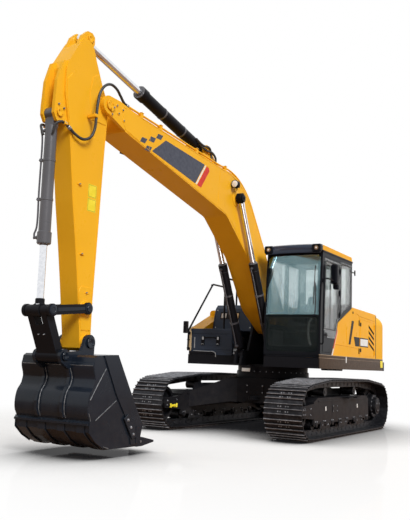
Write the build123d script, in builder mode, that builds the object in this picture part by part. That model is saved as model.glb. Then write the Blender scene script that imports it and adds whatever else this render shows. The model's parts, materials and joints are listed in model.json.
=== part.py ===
"""A 22 t crawler excavator as an assembly of separate pieces, in millimetres.

+X is forward, +Y is the machine's left (the cab's side), +Z is up and the ground is z = 0.
Sizes are set out about the swing axis; the export at the end shifts every piece along X,
so that the origin is at the bottom centre of the whole machine.
"""
from build123d import *
import math
import os

# ---------------------------------------------------------------- driving dimensions
STEEL_FIT = 0.05          # radial running clearance of a pin or rod in its bore
SEAT = 0.3                # gap of a piece that lies against its seat
SWING_GAP = 5             # gap round a door or lid

# tracks: x, z in the side view, out = distance outward from the track's centre plane
GAUGE = 2380
SHOE_WIDTH = 600
LINKS = 47
TUMBLER_X = 1715
TRACK_FORWARD = 85        # the tracks stand this far ahead of the swing axis
PIN_RADIUS = 330          # radius of the link pins' path round idler and sprocket
PIN_HEIGHT = 90           # pins above the grousers' tips on the flat
PIN_TOP = 825             # height of the pins on the top run
TOP_CORNER_X = 900        # where the top run starts to fall
PLATE_OUT = 62            # shoe plate's outer face above the pins' line
PLATE_IN = 50             # shoe plate's inner face above the pins' line
RAIL_DEPTH = 50           # rails reach this far inside the pins' line
RAIL_IN, RAIL_OUT = 55, 100
ROLLER_R = 80
ROLLER_COUNT = 8
ROLLER_SPAN = 2440
CARRIER_R = 70
CARRIER_X = 700
BEAM_HALF = 165           # half width of a track frame's beam
CHEEK = 30                # thickness of its side plates
BEAM_TOP = 620
TUMBLER_Z = PIN_HEIGHT + PIN_RADIUS

# centre
CAR_BODY_LOW, CAR_BODY_TOP = 450, 860
RING_Z = 970              # underside of the swing bearing
DECK_BOTTOM = 1070        # underside of the upper frame
BEARING_R = 620

# upper frame
BOTTOM_PLATE = 30
DECK_TOP = 1235
DECK_PLATE = 30
SKIRT_LOW = 1068
HALF_WIDTH = 1360
LEFT_FRONT = 1220
RIGHT_FRONT = 700
REAR_X = -2190
RIB_IN, RIB_OUT = 211, 251     # the two long plates that carry the boom
RIB_TOP = 1340
EAR_IN, EAR_OUT = 320, 355     # outer ears of the boom cylinders

# pivots in the side view, from the swing axis
FOOT = (150, 1800)
BOOM_CYL_BASE = (700, 1250)
BOOM_CYL_PIN = (1975, 3695)
BOOM_CYL_Y = 285
ARM_CYL_BASE = (2740, 4290)
ARM_CYL_PIN = (5600, 4880)
ARM_PIVOT = (5290, 4142)
BUCKET_CYL_BASE = (6050, 3815)
BUCKET_PIVOT = (5385, 1260)
LINK_PIVOT = (5435, 1650)
OPEN_PIN = (6030, 1585)
POWER_PIN = (5800, 1100)

# boom, arm and bucket
BOOM_HALF = 205
BOOM_WALL = 12
FOOT_R, FOOT_HALF = 160, 210
LUG_IN, LUG_OUT = 160, 206
ARM_HALF = 130
ARM_WALL = 12
ARM_BOSS_HALF = 159
TIP_BOSS_HALF = 164
BUCKET_EAR_IN, BUCKET_EAR_OUT = 165, 205
GUIDE_IN, GUIDE_OUT = 168, 200
BUCKET_HALF = 535
BUCKET_WALL = 22
TEETH = 5

# cab
CAB_IN, CAB_OUT = 385, 1360
CAB_REAR, CAB_FRONT = -270, 1200
CAB_FLOOR = 1270
CAB_TOP = 2935
CAB_WALL = 50
DIVIDER = 1893            # bar between the two panes of the windscreen
GLASS = 6

# hinges of doors and lid: three knuckles round one pin
KNUCKLE_R, KNUCKLE_PIN, KNUCKLE_HALF = 9, 5, 20
LEAF, LEAF_LONG = 4, 45

# counterweight and its lifting holes, towing eyes under the centre
WEIGHT_TOP = 2120
TAIL_X = -2735
LIFT_X, LIFT_SPACING, LIFT_R, LIFT_DEPTH = -1800, 1200, 18, 60
TOW_X, TOW_Z, TOW_R, TOW_HALF = 780, 530, 32, 25

# engine bay
PANEL = 30
BAY_FRONT, BAY_REAR = -300, -1650
PANEL_TOP = 2110
HOOD_HALF = 980
HOOD_FRONT = -850
TOOL_FRONT, TOOL_TOP, COVER_TOP = 680, 1690, 2158

PIECES = []


def finish(builder, name, forward=0):
    """Give a finished piece its name, set it in place and put it on the list."""
    piece = Pos(forward, 0, 0) * builder.part
    piece.label = name
    PIECES.append(piece)
    return piece


def block(x0, x1, y0, y1, z0, z1, mode=Mode.ADD):
    """A box between two corners."""
    with Locations(((x0 + x1) / 2, (y0 + y1) / 2, (z0 + z1) / 2)):
        Box(abs(x1 - x0), abs(y1 - y0), abs(z1 - z0), mode=mode)


def side_plate(points, y0, y1, radii=0, mode=Mode.ADD):
    """A plate between y0 and y1 whose outline is given in the side view (x, z)."""
    with BuildSketch(Plane.XZ.offset(-max(y0, y1))) as outline:
        with BuildLine():
            if radii:
                FilletPolyline(*points, radius=radii, close=True)
            else:
                Polyline(*points, close=True)
        make_face()
    extrude(outline.sketch, amount=abs(y1 - y0), mode=mode)


def plan_plate(points, z0, z1, mode=Mode.ADD):
    """A plate between z0 and z1 whose outline is given in the plan (x, y)."""
    with BuildSketch(Plane.XY.offset(z0)) as outline:
        with BuildLine():
            Polyline(*points, close=True)
        make_face()
    extrude(outline.sketch, amount=z1 - z0, mode=mode)


def offset_plate(points, by, y0, y1, mode=Mode.ADD):
    """A side plate whose outline is grown, or shrunk, evenly by a gap."""
    with BuildSketch(Plane.XZ.offset(-max(y0, y1))) as outline:
        with BuildLine():
            Polyline(*points, close=True)
        make_face()
        offset(amount=by, kind=Kind.INTERSECTION, mode=Mode.REPLACE)
    extrude(outline.sketch, amount=abs(y1 - y0), mode=mode)


def disc(centre, radius, y0, y1, mode=Mode.ADD):
    """A round boss, pin or bore across the machine at a point of the side view."""
    with BuildSketch(Plane.XZ.offset(-max(y0, y1))) as outline:
        with Locations(centre):
            Circle(radius)
    extrude(outline.sketch, amount=abs(y1 - y0), mode=mode)


def door_hinge(moving, x, face, out, heights):
    """Half of a door's hinges on the outer face: sleeves on the door, or knuckles with the pin.

    The door lies forward of x and the fixed panel behind it; out is the outward side of Y.
    """
    axis_y = face + out * (KNUCKLE_R + SEAT)
    for z in heights:
        if moving:
            with Locations((x, axis_y, z)):
                Cylinder(KNUCKLE_R, 2 * KNUCKLE_HALF)
            block(x, x + LEAF_LONG, face - out, face + out * LEAF, z - KNUCKLE_HALF, z + KNUCKLE_HALF)
            with Locations((x, axis_y, z)):
                Cylinder(KNUCKLE_PIN + STEEL_FIT, 3 * KNUCKLE_HALF, mode=Mode.SUBTRACT)
            continue
        low, high = z - 2.2 * KNUCKLE_HALF, z + 2.2 * KNUCKLE_HALF
        for z0, z1 in ((low, z - KNUCKLE_HALF - SEAT), (z + KNUCKLE_HALF + SEAT, high)):
            with Locations((x, axis_y, (z0 + z1) / 2)):
                Cylinder(KNUCKLE_R, z1 - z0)
            block(x - LEAF_LONG, x, face - out, face + out * LEAF, z0, z1)
        with Locations((x, axis_y, z)):
            Cylinder(KNUCKLE_PIN, high - low)


def lid_hinge(moving, x, face, places):
    """Half of the lid's hinges on its top; the lid lies behind x and the fixed cover ahead."""
    axis_z = face + KNUCKLE_R + SEAT
    for y in places:
        if moving:
            disc((x, axis_z), KNUCKLE_R, y - KNUCKLE_HALF, y + KNUCKLE_HALF)
            block(x - LEAF_LONG, x, y - KNUCKLE_HALF, y + KNUCKLE_HALF, face - LEAF, face + LEAF)
            disc((x, axis_z), KNUCKLE_PIN + STEEL_FIT, y - 2 * KNUCKLE_HALF, y + 2 * KNUCKLE_HALF, mode=Mode.SUBTRACT)
            continue
        low, high = y - 2.2 * KNUCKLE_HALF, y + 2.2 * KNUCKLE_HALF
        for y0, y1 in ((low, y - KNUCKLE_HALF - SEAT), (y + KNUCKLE_HALF + SEAT, high)):
            disc((x, axis_z), KNUCKLE_R, y0, y1)
            block(x, x + LEAF_LONG, y0, y1, face - LEAF, face + LEAF)
        disc((x, axis_z), KNUCKLE_PIN, low, high)


def both_sides(y0, y1):
    """The same range of y on the left and on the right."""
    return ((y0, y1), (-y1, -y0))


# ---------------------------------------------------------------- tracks
def pin_path():
    """Straight and round stretches of the pins' loop, from the rear along the ground."""
    to_corner = (TOP_CORNER_X - TUMBLER_X, PIN_TOP - TUMBLER_Z)
    tangent = math.atan2(to_corner[1], to_corner[0]) - math.acos(PIN_RADIUS / math.hypot(*to_corner))
    leave = (TUMBLER_X + PIN_RADIUS * math.cos(tangent), TUMBLER_Z + PIN_RADIUS * math.sin(tangent))
    return [
        ("line", (-TUMBLER_X, PIN_HEIGHT), (TUMBLER_X, PIN_HEIGHT)),
        ("arc", TUMBLER_X, -math.pi / 2, tangent),
        ("line", leave, (TOP_CORNER_X, PIN_TOP)),
        ("line", (TOP_CORNER_X, PIN_TOP), (-TOP_CORNER_X, PIN_TOP)),
        ("line", (-TOP_CORNER_X, PIN_TOP), (-leave[0], leave[1])),
        ("arc", -TUMBLER_X, math.pi - tangent, 3 * math.pi / 2),
    ]


def path_lengths():
    return [
        math.dist(part[1], part[2]) if part[0] == "line" else PIN_RADIUS * (part[3] - part[2])
        for part in pin_path()
    ]


def pin_points():
    """The link pins, evenly spaced along the loop."""
    path, lengths = pin_path(), path_lengths()
    pitch = sum(lengths) / LINKS
    pins = []
    for link in range(LINKS):
        along = (link + 0.5) * pitch
        for part, length in zip(path, lengths):
            if along <= length:
                break
            along -= length
        share = along / length
        if part[0] == "line":
            pins.append(tuple(a + (b - a) * share for a, b in zip(part[1], part[2])))
        else:
            angle = part[2] + (part[3] - part[2]) * share
            pins.append((part[1] + PIN_RADIUS * math.cos(angle), TUMBLER_Z + PIN_RADIUS * math.sin(angle)))
    return pins


def loop_at(pins, height):
    """The polygon that lies a given height outside the chords between the pins."""
    corners = []
    for before, pin, after in zip(pins[-1:] + pins[:-1], pins, pins[1:] + pins[:1]):
        turn_in = math.atan2(pin[1] - before[1], pin[0] - before[0])
        turn_out = math.atan2(after[1] - pin[1], after[0] - pin[0])
        half = math.remainder(turn_out - turn_in, 2 * math.pi) / 2
        middle = turn_in + half - math.pi / 2
        reach = height / math.cos(half)
        corners.append((pin[0] + reach * math.cos(middle), pin[1] + reach * math.sin(middle)))
    return corners


def shoe_outline(pins):
    """Outer outline of all shoes: each has three grousers across its plate."""
    # share of the pitch from the shoe's middle, height above the pins' line
    profile = [(-0.49, PLATE_OUT)]
    for middle in (-0.40, 0.0, 0.40):
        profile += [(middle - 0.05, PLATE_OUT), (middle, PIN_HEIGHT), (middle + 0.05, PLATE_OUT)]
    points = []
    for pin, after in zip(pins, pins[1:] + pins[:1]):
        length = math.dist(pin, after)
        along = ((after[0] - pin[0]) / length, (after[1] - pin[1]) / length)
        for share, height in profile:
            step = (share + 0.5) * length
            points.append((
                pin[0] + along[0] * step + along[1] * height,
                pin[1] + along[1] * step - along[0] * height,
            ))
    return points


def make_track(side, label):
    """The whole chain with its shoes, as one closed loop."""
    pins = pin_points()
    middle = side * GAUGE / 2
    with BuildPart() as track:
        low, high = middle - SHOE_WIDTH / 2, middle + SHOE_WIDTH / 2
        side_plate(shoe_outline(pins), low, high)
        side_plate(loop_at(pins, PLATE_IN), low, high, mode=Mode.SUBTRACT)
        for sign in (-1, 1):
            with BuildSketch(Plane.XZ.offset(-(middle + max(sign * RAIL_IN, sign * RAIL_OUT)))) as rail:
                with BuildLine():
                    Polyline(*loop_at(pins, PLATE_IN + 6), close=True)
                make_face()
                with BuildLine():
                    Polyline(*loop_at(pins, -RAIL_DEPTH), close=True)
                make_face(mode=Mode.SUBTRACT)
            extrude(rail.sketch, amount=RAIL_OUT - RAIL_IN)
    return finish(track, label, TRACK_FORWARD)


def make_track_frame(side, label):
    """Welded beam with cheeks down to the rollers, idler fork and drive bracket."""
    def out(a):
        return side * (GAUGE / 2 + a)

    fork_low, fork_high = TUMBLER_Z - 80, TUMBLER_Z + 80
    with BuildPart() as frame:
        side_plate(
            [(-1330, 225), (-1300, 560), (-1200, BEAM_TOP), (1150, BEAM_TOP), (1320, 560), (1320, 225)],
            out(-BEAM_HALF), out(BEAM_HALF),
        )
        block(-1400, 1400, out(-BEAM_HALF + CHEEK), out(BEAM_HALF - CHEEK), 200, 318, mode=Mode.SUBTRACT)
        for a in (-BEAM_HALF, BEAM_HALF - CHEEK):
            side_plate(
                [(1250, fork_low - 40), (1800, fork_low), (1830, TUMBLER_Z), (1800, fork_high), (1250, fork_high + 40)],
                out(a), out(a + CHEEK),
            )
        block(1320, 1500, out(-BEAM_HALF), out(BEAM_HALF), fork_low, fork_high, mode=Mode.SUBTRACT)
        for a in (-BEAM_HALF, BEAM_HALF - CHEEK):
            side_plate(
                [(1250, fork_low - 40), (1800, fork_low), (1830, TUMBLER_Z), (1800, fork_high), (1250, fork_high + 40)],
                out(a), out(a + CHEEK),
            )
        side_plate(
            [(-1250, 300), (-1600, 200), (-1900, 260), (-1960, TUMBLER_Z), (-1900, 580), (-1600, 620), (-1250, 600)],
            out(-BEAM_HALF), out(-BEAM_HALF + CHEEK),
        )
        for x in (-CARRIER_X, CARRIER_X):
            block(x - 60, x + 60, out(-140), out(-115), BEAM_TOP - 20, 790)
    return finish(frame, label, TRACK_FORWARD)


def make_rollers(side, label):
    """Track rollers under the beam and carrier rollers on it."""
    def out(a):
        return side * (GAUGE / 2 + a)

    low_z = PIN_HEIGHT + RAIL_DEPTH + SEAT + ROLLER_R
    high_z = PIN_TOP - RAIL_DEPTH - SEAT - CARRIER_R
    step = ROLLER_SPAN / (ROLLER_COUNT - 1)
    axle_end = BEAM_HALF - CHEEK - SEAT
    with BuildPart() as rollers:
        for index in range(ROLLER_COUNT):
            at = (-ROLLER_SPAN / 2 + index * step, low_z)
            disc(at, ROLLER_R, out(-105), out(105))
            disc(at, 35, out(-axle_end), out(axle_end))
        for x in (-CARRIER_X, CARRIER_X):
            disc((x, high_z), CARRIER_R, out(-105), out(105))
            disc((x, high_z), 30, out(-115 + SEAT), out(110))
    return finish(rollers, label, TRACK_FORWARD)


def make_idler(side, label):
    def out(a):
        return side * (GAUGE / 2 + a)

    half_link = sum(path_lengths()) / LINKS / 2
    rim = PIN_RADIUS * math.cos(half_link / PIN_RADIUS) - RAIL_DEPTH - SEAT
    hub = BEAM_HALF - CHEEK - SEAT
    at = (TUMBLER_X, TUMBLER_Z)
    with BuildPart() as idler:
        disc(at, rim, out(-100), out(100))
        disc(at, rim + 30, out(-45), out(45))
        disc(at, rim - 50, out(-110), out(-40), mode=Mode.SUBTRACT)
        disc(at, rim - 50, out(40), out(110), mode=Mode.SUBTRACT)
        disc(at, 90, out(-hub), out(hub))
    return finish(idler, label, TRACK_FORWARD)


def make_final_drive(side, label):
    """Toothed sprocket with the gear housing outside it and the motor inside."""
    def out(a):
        return side * (GAUGE / 2 + a)

    teeth, root, tip = 21, 300, 352
    at = (-TUMBLER_X, TUMBLER_Z)
    points = []
    for tooth in range(teeth):
        for share, radius in ((0.0, root), (0.3, root), (0.5, tip), (0.7, tip), (0.9, root)):
            angle = 2 * math.pi * (tooth + share) / teeth
            points.append((at[0] + radius * math.cos(angle), at[1] + radius * math.sin(angle)))
    with BuildPart() as drive:
        side_plate(points, out(-35), out(35))
        disc(at, 235, out(-BEAM_HALF + CHEEK + SEAT), out(60))
        disc(at, 205, out(50), out(150))
        disc(at, 150, out(140), out(215))
    return finish(drive, label, TRACK_FORWARD)


def make_travel_motor(side, label):
    def out(a):
        return side * (GAUGE / 2 + a)

    at = (-TUMBLER_X, TUMBLER_Z)
    with BuildPart() as motor:
        disc(at, 190, out(-BEAM_HALF - SEAT), out(-BEAM_HALF - 60))
        disc(at, 140, out(-BEAM_HALF - 50), out(-BEAM_HALF - 190))
    return finish(motor, label, TRACK_FORWARD)


def make_car_body():
    """X-shaped centre frame: a box under the swing bearing and four legs."""
    inner = GAUGE / 2 - BEAM_HALF
    with BuildPart() as body:
        for sx in (-1, 1):
            for sy in (-1, 1):
                plan_plate([
                    (sx * 100, sy * 300), (sx * 640, sy * 250), (sx * 1150, sy * inner), (sx * 620, sy * inner),
                ], 300, CAR_BODY_TOP)
        with BuildSketch(Plane.YZ.offset(-1300)) as cross:
            with BuildLine():
                Polyline(
                    (-inner, 600), (-450, CAR_BODY_TOP), (450, CAR_BODY_TOP), (inner, 600),
                    (inner, 340), (450, CAR_BODY_LOW), (-450, CAR_BODY_LOW), (-inner, 340), close=True,
                )
            make_face()
        extrude(cross.sketch, amount=2600, mode=Mode.INTERSECT)
        plan_plate([
            (-700, -400), (-400, -620), (400, -620), (700, -400),
            (700, 400), (400, 620), (-400, 620), (-700, 400),
        ], CAR_BODY_LOW, CAR_BODY_TOP)
        with Locations((0, 0, (CAR_BODY_TOP + RING_Z) / 2)):
            Cylinder(640, RING_Z - CAR_BODY_TOP)
        with Locations((0, 0, (CAR_BODY_LOW + RING_Z) / 2)):
            Cylinder(300, RING_Z - CAR_BODY_LOW + 10, mode=Mode.SUBTRACT)
        # the legs and the box are welded of plates and open underneath
        with BuildPart(mode=Mode.PRIVATE) as hollow:
            for sx in (-1, 1):
                for sy in (-1, 1):
                    plan_plate([
                        (sx * 150, sy * 330), (sx * 622, sy * 300), (sx * 1080, sy * (inner - 25)),
                        (sx * 660, sy * (inner - 25)),
                    ], 200, CAR_BODY_TOP)
            with BuildSketch(Plane.YZ.offset(-1300)) as lower:
                with BuildLine():
                    Polyline(
                        (-inner, 565), (-450, CAR_BODY_TOP - 30), (450, CAR_BODY_TOP - 30), (inner, 565),
                        (inner, 100), (-inner, 100), close=True,
                    )
                make_face()
            extrude(lower.sketch, amount=2600, mode=Mode.INTERSECT)
        add(hollow.part, mode=Mode.SUBTRACT)
        # towing eyes at both ends, for a shackle's pin put up from below
        for end in (-1, 1):
            plan_plate([
                (end * 690, -85), (end * TOW_X, -80), (end * (TOW_X + 60), -45), (end * (TOW_X + 70), 0),
                (end * (TOW_X + 60), 45), (end * TOW_X, 80), (end * 690, 85),
            ], TOW_Z - TOW_HALF, TOW_Z + TOW_HALF)
            with Locations((end * TOW_X, 0, TOW_Z)):
                Cylinder(TOW_R, 2 * TOW_HALF + 2, mode=Mode.SUBTRACT)
    return finish(body, "car_body")


def make_swing_bearing():
    with BuildPart() as bearing:
        with Locations((0, 0, (RING_Z + DECK_BOTTOM - SEAT) / 2)):
            Cylinder(BEARING_R, DECK_BOTTOM - SEAT - RING_Z)
            Cylinder(440, DECK_BOTTOM - SEAT - RING_Z, mode=Mode.SUBTRACT)
    return finish(bearing, "swing_bearing")


# ---------------------------------------------------------------- upper structure
def make_main_frame():
    """Upper frame: bottom plate, two long plates with the boom's feet, side decks."""
    with BuildPart() as frame:
        block(REAR_X, 840, -620, 620, DECK_BOTTOM, DECK_BOTTOM + BOTTOM_PLATE)
        block(600, 900, -RIB_IN, RIB_IN, DECK_BOTTOM - 10, DECK_BOTTOM + 50, mode=Mode.SUBTRACT)
        for y0, y1 in both_sides(RIB_IN, RIB_OUT):
            side_plate([
                (REAR_X, DECK_BOTTOM), (REAR_X, DECK_TOP), (-1640, DECK_TOP), (-1600, RIB_TOP),
                (-700, RIB_TOP), (-30, 1930), (330, 1930),
                (560, 1330), (640, 1330), (800, 1240), (830, 1130), (840, DECK_BOTTOM),
            ], y0, y1)
            disc(FOOT, FOOT_R, y0, y1)
        for y0, y1 in both_sides(EAR_IN, EAR_OUT):
            side_plate([(480, DECK_BOTTOM), (600, 1300), (800, 1300), (840, DECK_BOTTOM)], y0, y1)
        for centre in (BOOM_CYL_BASE,):
            for y0, y1 in both_sides(RIB_IN, RIB_OUT) + both_sides(EAR_IN, EAR_OUT):
                disc(centre, 95, y0, y1)
        # side decks with a skirt all round
        for y0, y1, front in ((400, HALF_WIDTH, LEFT_FRONT), (-HALF_WIDTH, -400, RIGHT_FRONT)):
            block(REAR_X, front, y0, y1, SKIRT_LOW, DECK_TOP)
            block(REAR_X + 20, front - 20, y0 + 20, y1 - 20, SKIRT_LOW - 10, DECK_TOP - DECK_PLATE, mode=Mode.SUBTRACT)
        for x in (-2000, -1100, -200, 300):
            for y0, y1 in both_sides(RIB_OUT - 5, HALF_WIDTH - 10):
                block(x, x + 60, y0, y1, DECK_BOTTOM + 25, DECK_TOP - 10)
        for y0, y1 in both_sides(RIB_IN, RIB_OUT):
            disc(FOOT, 45 + STEEL_FIT, y0 - 1, y1 + 1, mode=Mode.SUBTRACT)
        for y0, y1 in both_sides(RIB_IN, RIB_OUT) + both_sides(EAR_IN, EAR_OUT):
            disc(BOOM_CYL_BASE, 40 + STEEL_FIT, y0 - 1, y1 + 1, mode=Mode.SUBTRACT)
        with Locations((0, 0, DECK_BOTTOM)):
            Cylinder(180, 100, mode=Mode.SUBTRACT)
        with Locations((0, 0, DECK_BOTTOM - 10)):
            Cylinder(BEARING_R + 30, 20, mode=Mode.SUBTRACT)
    return finish(frame, "main_frame")


def make_counterweight():
    """Cast weight: round in plan, with rounded top edges, standing on the frame's tail."""
    front = BAY_REAR - 10
    with BuildPart() as weight:
        with BuildSketch(Plane.XY.offset(DECK_TOP + SEAT)) as plan:
            with BuildLine():
                Line((front, -HALF_WIDTH), (-2060, -HALF_WIDTH))
                Line((front, HALF_WIDTH), (-2060, HALF_WIDTH))
                Line((front, -HALF_WIDTH), (front, HALF_WIDTH))
                RadiusArc((-2060, -HALF_WIDTH), (-2380, -1160), 400)
                RadiusArc((-2380, 1160), (-2060, HALF_WIDTH), 400)
                ThreePointArc((-2380, -1160), (TAIL_X, 0), (-2380, 1160))
            make_face()
        extrude(amount=WEIGHT_TOP - DECK_TOP - SEAT)
        top = [edge for edge in weight.edges().group_by(Axis.Z)[-1] if edge.center().X < front - 1]
        fillet(top, 210)
        with BuildSketch(Plane.XY.offset(SKIRT_LOW)) as tail:
            with BuildLine():
                Line((REAR_X - SEAT, -1290), (REAR_X - SEAT, 1290))
                Line((REAR_X - SEAT, -1290), (-2380, -1160))
                Line((REAR_X - SEAT, 1290), (-2380, 1160))
                ThreePointArc((-2380, -1160), (TAIL_X, 0), (-2380, 1160))
            make_face()
        extrude(amount=DECK_TOP - SKIRT_LOW + 10)
        # hollow behind the engine bay
        for x0, x1, half in ((-2060, front + 1, 1290), (-2310, -2050, 1090), (-2530, -2300, 700)):
            block(x0, x1, -half, half, DECK_TOP + 70, WEIGHT_TOP - 95, mode=Mode.SUBTRACT)
        # blind threaded holes for lifting eyes
        with Locations((LIFT_X, -LIFT_SPACING / 2, WEIGHT_TOP), (LIFT_X, LIFT_SPACING / 2, WEIGHT_TOP)):
            Cylinder(LIFT_R, 2 * LIFT_DEPTH, mode=Mode.SUBTRACT)
    return finish(weight, "counterweight")


def make_engine():
    """The engine and its pump, as one plain block at their real place and size."""
    with BuildPart() as engine:
        block(-1560, -870, -700, 600, RIB_TOP + 50, 1950)
        block(-1540, -890, -680, 580, RIB_TOP + 49, 1930, mode=Mode.SUBTRACT)
        for y0, y1 in both_sides(RIB_IN - 10, RIB_OUT + 10):
            block(-1560, -870, y0, y1, RIB_TOP + SEAT, RIB_TOP + 60)
    return finish(engine, "engine_block")


DOOR_HINGE_X = -1560 - SWING_GAP / 2
DOOR_HINGES = (1400, 1870)
HOOD_HINGE_X = HOOD_FRONT + SWING_GAP / 2
HOOD_FACE = 2124
LID_HINGES = (-350, 700)
LEFT_PANEL = [(724, DECK_TOP + SEAT), (455, 1712), (412, 1831), (-330, 2148), (-1640, 2118), (-1640, DECK_TOP + SEAT)]
LEFT_DOOR = [(-700, 1290), (-700, 2020), (-1560, 1985), (-1560, 1290)]
RIGHT_DOOR = [(-860, 1290), (-860, 2020), (-1560, 1985), (-1560, 1290)]


def make_left_panel():
    with BuildPart() as panel:
        side_plate(LEFT_PANEL, HALF_WIDTH - PANEL, HALF_WIDTH)
        offset_plate(LEFT_DOOR, SWING_GAP, HALF_WIDTH - PANEL - 1, HALF_WIDTH + 1, mode=Mode.SUBTRACT)
        side_plate([(-330, 2105), (-330, 2146), (-1640, 2116), (-1640, 2076)], HOOD_HALF + SWING_GAP, HALF_WIDTH - 5)
        block(BAY_FRONT - PANEL, BAY_FRONT, RIB_OUT + SEAT, HALF_WIDTH - 5, DECK_TOP + SEAT, 2085)
        side_plate([(-300, 2105), (-300, 2145), (HOOD_FRONT + SWING_GAP, 2122), (HOOD_FRONT + SWING_GAP, 2082)],
                   -415, HALF_WIDTH - 5)
        door_hinge(False, DOOR_HINGE_X, HALF_WIDTH, 1, DOOR_HINGES)
        lid_hinge(False, HOOD_HINGE_X, HOOD_FACE, LID_HINGES)
    return finish(panel, "left_panel")


def make_right_panel():
    with BuildPart() as panel:
        side_plate([(-825, DECK_TOP + SEAT), (-825, 2125), (-1640, 2118), (-1640, DECK_TOP + SEAT)],
                   -HALF_WIDTH, -HALF_WIDTH + PANEL)
        offset_plate(RIGHT_DOOR, SWING_GAP, -HALF_WIDTH - 1, -HALF_WIDTH + PANEL + 1, mode=Mode.SUBTRACT)
        side_plate([(-825, 2083), (-825, 2123), (-1640, 2116), (-1640, 2076)],
                   -HALF_WIDTH + 5, -HOOD_HALF - SWING_GAP)
        door_hinge(False, DOOR_HINGE_X, -HALF_WIDTH, -1, DOOR_HINGES)
    return finish(panel, "right_panel")


def make_side_door(outline, y0, y1, out, label):
    with BuildPart() as door:
        side_plate(outline, y0, y1)
        door_hinge(True, DOOR_HINGE_X, out * HALF_WIDTH, out, DOOR_HINGES)
    return finish(door, label)


def make_hood():
    """Lid over the engine, with a lip all round."""
    with BuildPart() as hood:
        side_plate([(HOOD_FRONT, 2080), (HOOD_FRONT, 2124), (-1640, 2118), (-1640, 2074)], -HOOD_HALF, HOOD_HALF)
        side_plate([(HOOD_FRONT - 30, 2060), (HOOD_FRONT - 30, 2094), (-1610, 2088), (-1610, 2050)],
                   -HOOD_HALF + 30, HOOD_HALF - 30, mode=Mode.SUBTRACT)
        lid_hinge(True, HOOD_HINGE_X, HOOD_FACE, LID_HINGES)
    return finish(hood, "engine_hood")


def make_tanks():
    for name, x0, x1, top in (("fuel_tank", -400, -30, 2080), ("hydraulic_tank", -820, -400 - SEAT, 2110)):
        with BuildPart() as tank:
            block(x0, x1, -HALF_WIDTH, -420, DECK_TOP + SEAT, top)
            fillet(tank.edges().filter_by(Axis.X).group_by(Axis.Z)[-1].sort_by(Axis.Y)[0], 60)
            block(x0 + 12, x1 - 12, -HALF_WIDTH + 12, -432, DECK_TOP, top - 45, mode=Mode.SUBTRACT)
        finish(tank, name)


def make_tool_box():
    """Box in front of the tanks, with the raised cover beside the boom's foot."""
    back = -30 + SEAT
    with BuildPart() as box:
        block(back, TOOL_FRONT, -HALF_WIDTH, -480, DECK_TOP + SEAT, TOOL_TOP)
        side_plate([(330, TOOL_TOP - 10), (300, 1900), (240, 2090), (170, COVER_TOP), (back, COVER_TOP),
                    (back, TOOL_TOP - 10)], -1080, -RIB_OUT - 17)
        block(back + 12, TOOL_FRONT - 12, -HALF_WIDTH + 12, -492, DECK_TOP, TOOL_TOP - 12, mode=Mode.SUBTRACT)
        side_plate([(315, TOOL_TOP - 20), (286, 1896), (229, 2080), (164, COVER_TOP - 12), (back + 12, COVER_TOP - 12),
                    (back + 12, TOOL_TOP - 20)], -1068, -RIB_OUT - 29, mode=Mode.SUBTRACT)
    return finish(box, "tool_box")


def make_tank_cover():
    """Sloping cover on the box, outside the raised one."""
    low = TOOL_TOP + SEAT
    with BuildPart() as cover:
        side_plate([(TOOL_FRONT, low), (-30 + SEAT, 1985), (-30 + SEAT, low)], -HALF_WIDTH, -1090)
        side_plate([(TOOL_FRONT - 60, low - 1), (-18, 1965), (-18, low - 1)], -HALF_WIDTH + 10, -1100, mode=Mode.SUBTRACT)
    return finish(cover, "tank_cover")


def tube(points, radius, bend):
    """A bent tube along straight runs joined by arcs."""
    with BuildLine() as path:
        FilletPolyline(*points, radius=bend)
    with BuildSketch(Plane(origin=path.line @ 0, z_dir=path.line % 0)) as section:
        Circle(radius)
    sweep(section.sketch, path=path.line)


RAIL_X, RAIL_Y, RAIL_R = 735, -HALF_WIDTH + 10, 17


def make_handrails():
    x, y = RAIL_X, RAIL_Y
    with BuildPart() as rails:
        tube([(x, y, 1300), (x, y, 1665), (-87, y, 2588), (-620, y, 2588), (-620, y, 2110 + SEAT)], RAIL_R, 60)
        tube([(600, -700, TOOL_TOP + SEAT), (600, -700, 2400), (470, -700, 2612), (150, -700, 2612),
              (150, -700, COVER_TOP + SEAT)], RAIL_R, 60)
        for z in (1310, 1590):
            block(TOOL_FRONT + SEAT, x, y - 10, y + 20, z, z + 40)
    return finish(rails, "handrails")


def make_mirror():
    with BuildPart() as mirror:
        with Locations((RAIL_X + RAIL_R + SEAT + 20, RAIL_Y - 38, 1715)):
            Box(40, 86, 210)
    return finish(mirror, "right_mirror")


def make_exhaust():
    with BuildPart() as stack:
        with Locations((-1250, -1150, 2245.1)):
            Cylinder(55, 250)
    return finish(stack, "exhaust_stack")


def make_swing_motor():
    with BuildPart() as motor:
        with Locations((-510, 0, (DECK_BOTTOM + BOTTOM_PLATE + SEAT + 1500) / 2)):
            Cylinder(130, 1500 - DECK_BOTTOM - BOTTOM_PLATE - SEAT)
    return finish(motor, "swing_motor")


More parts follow.
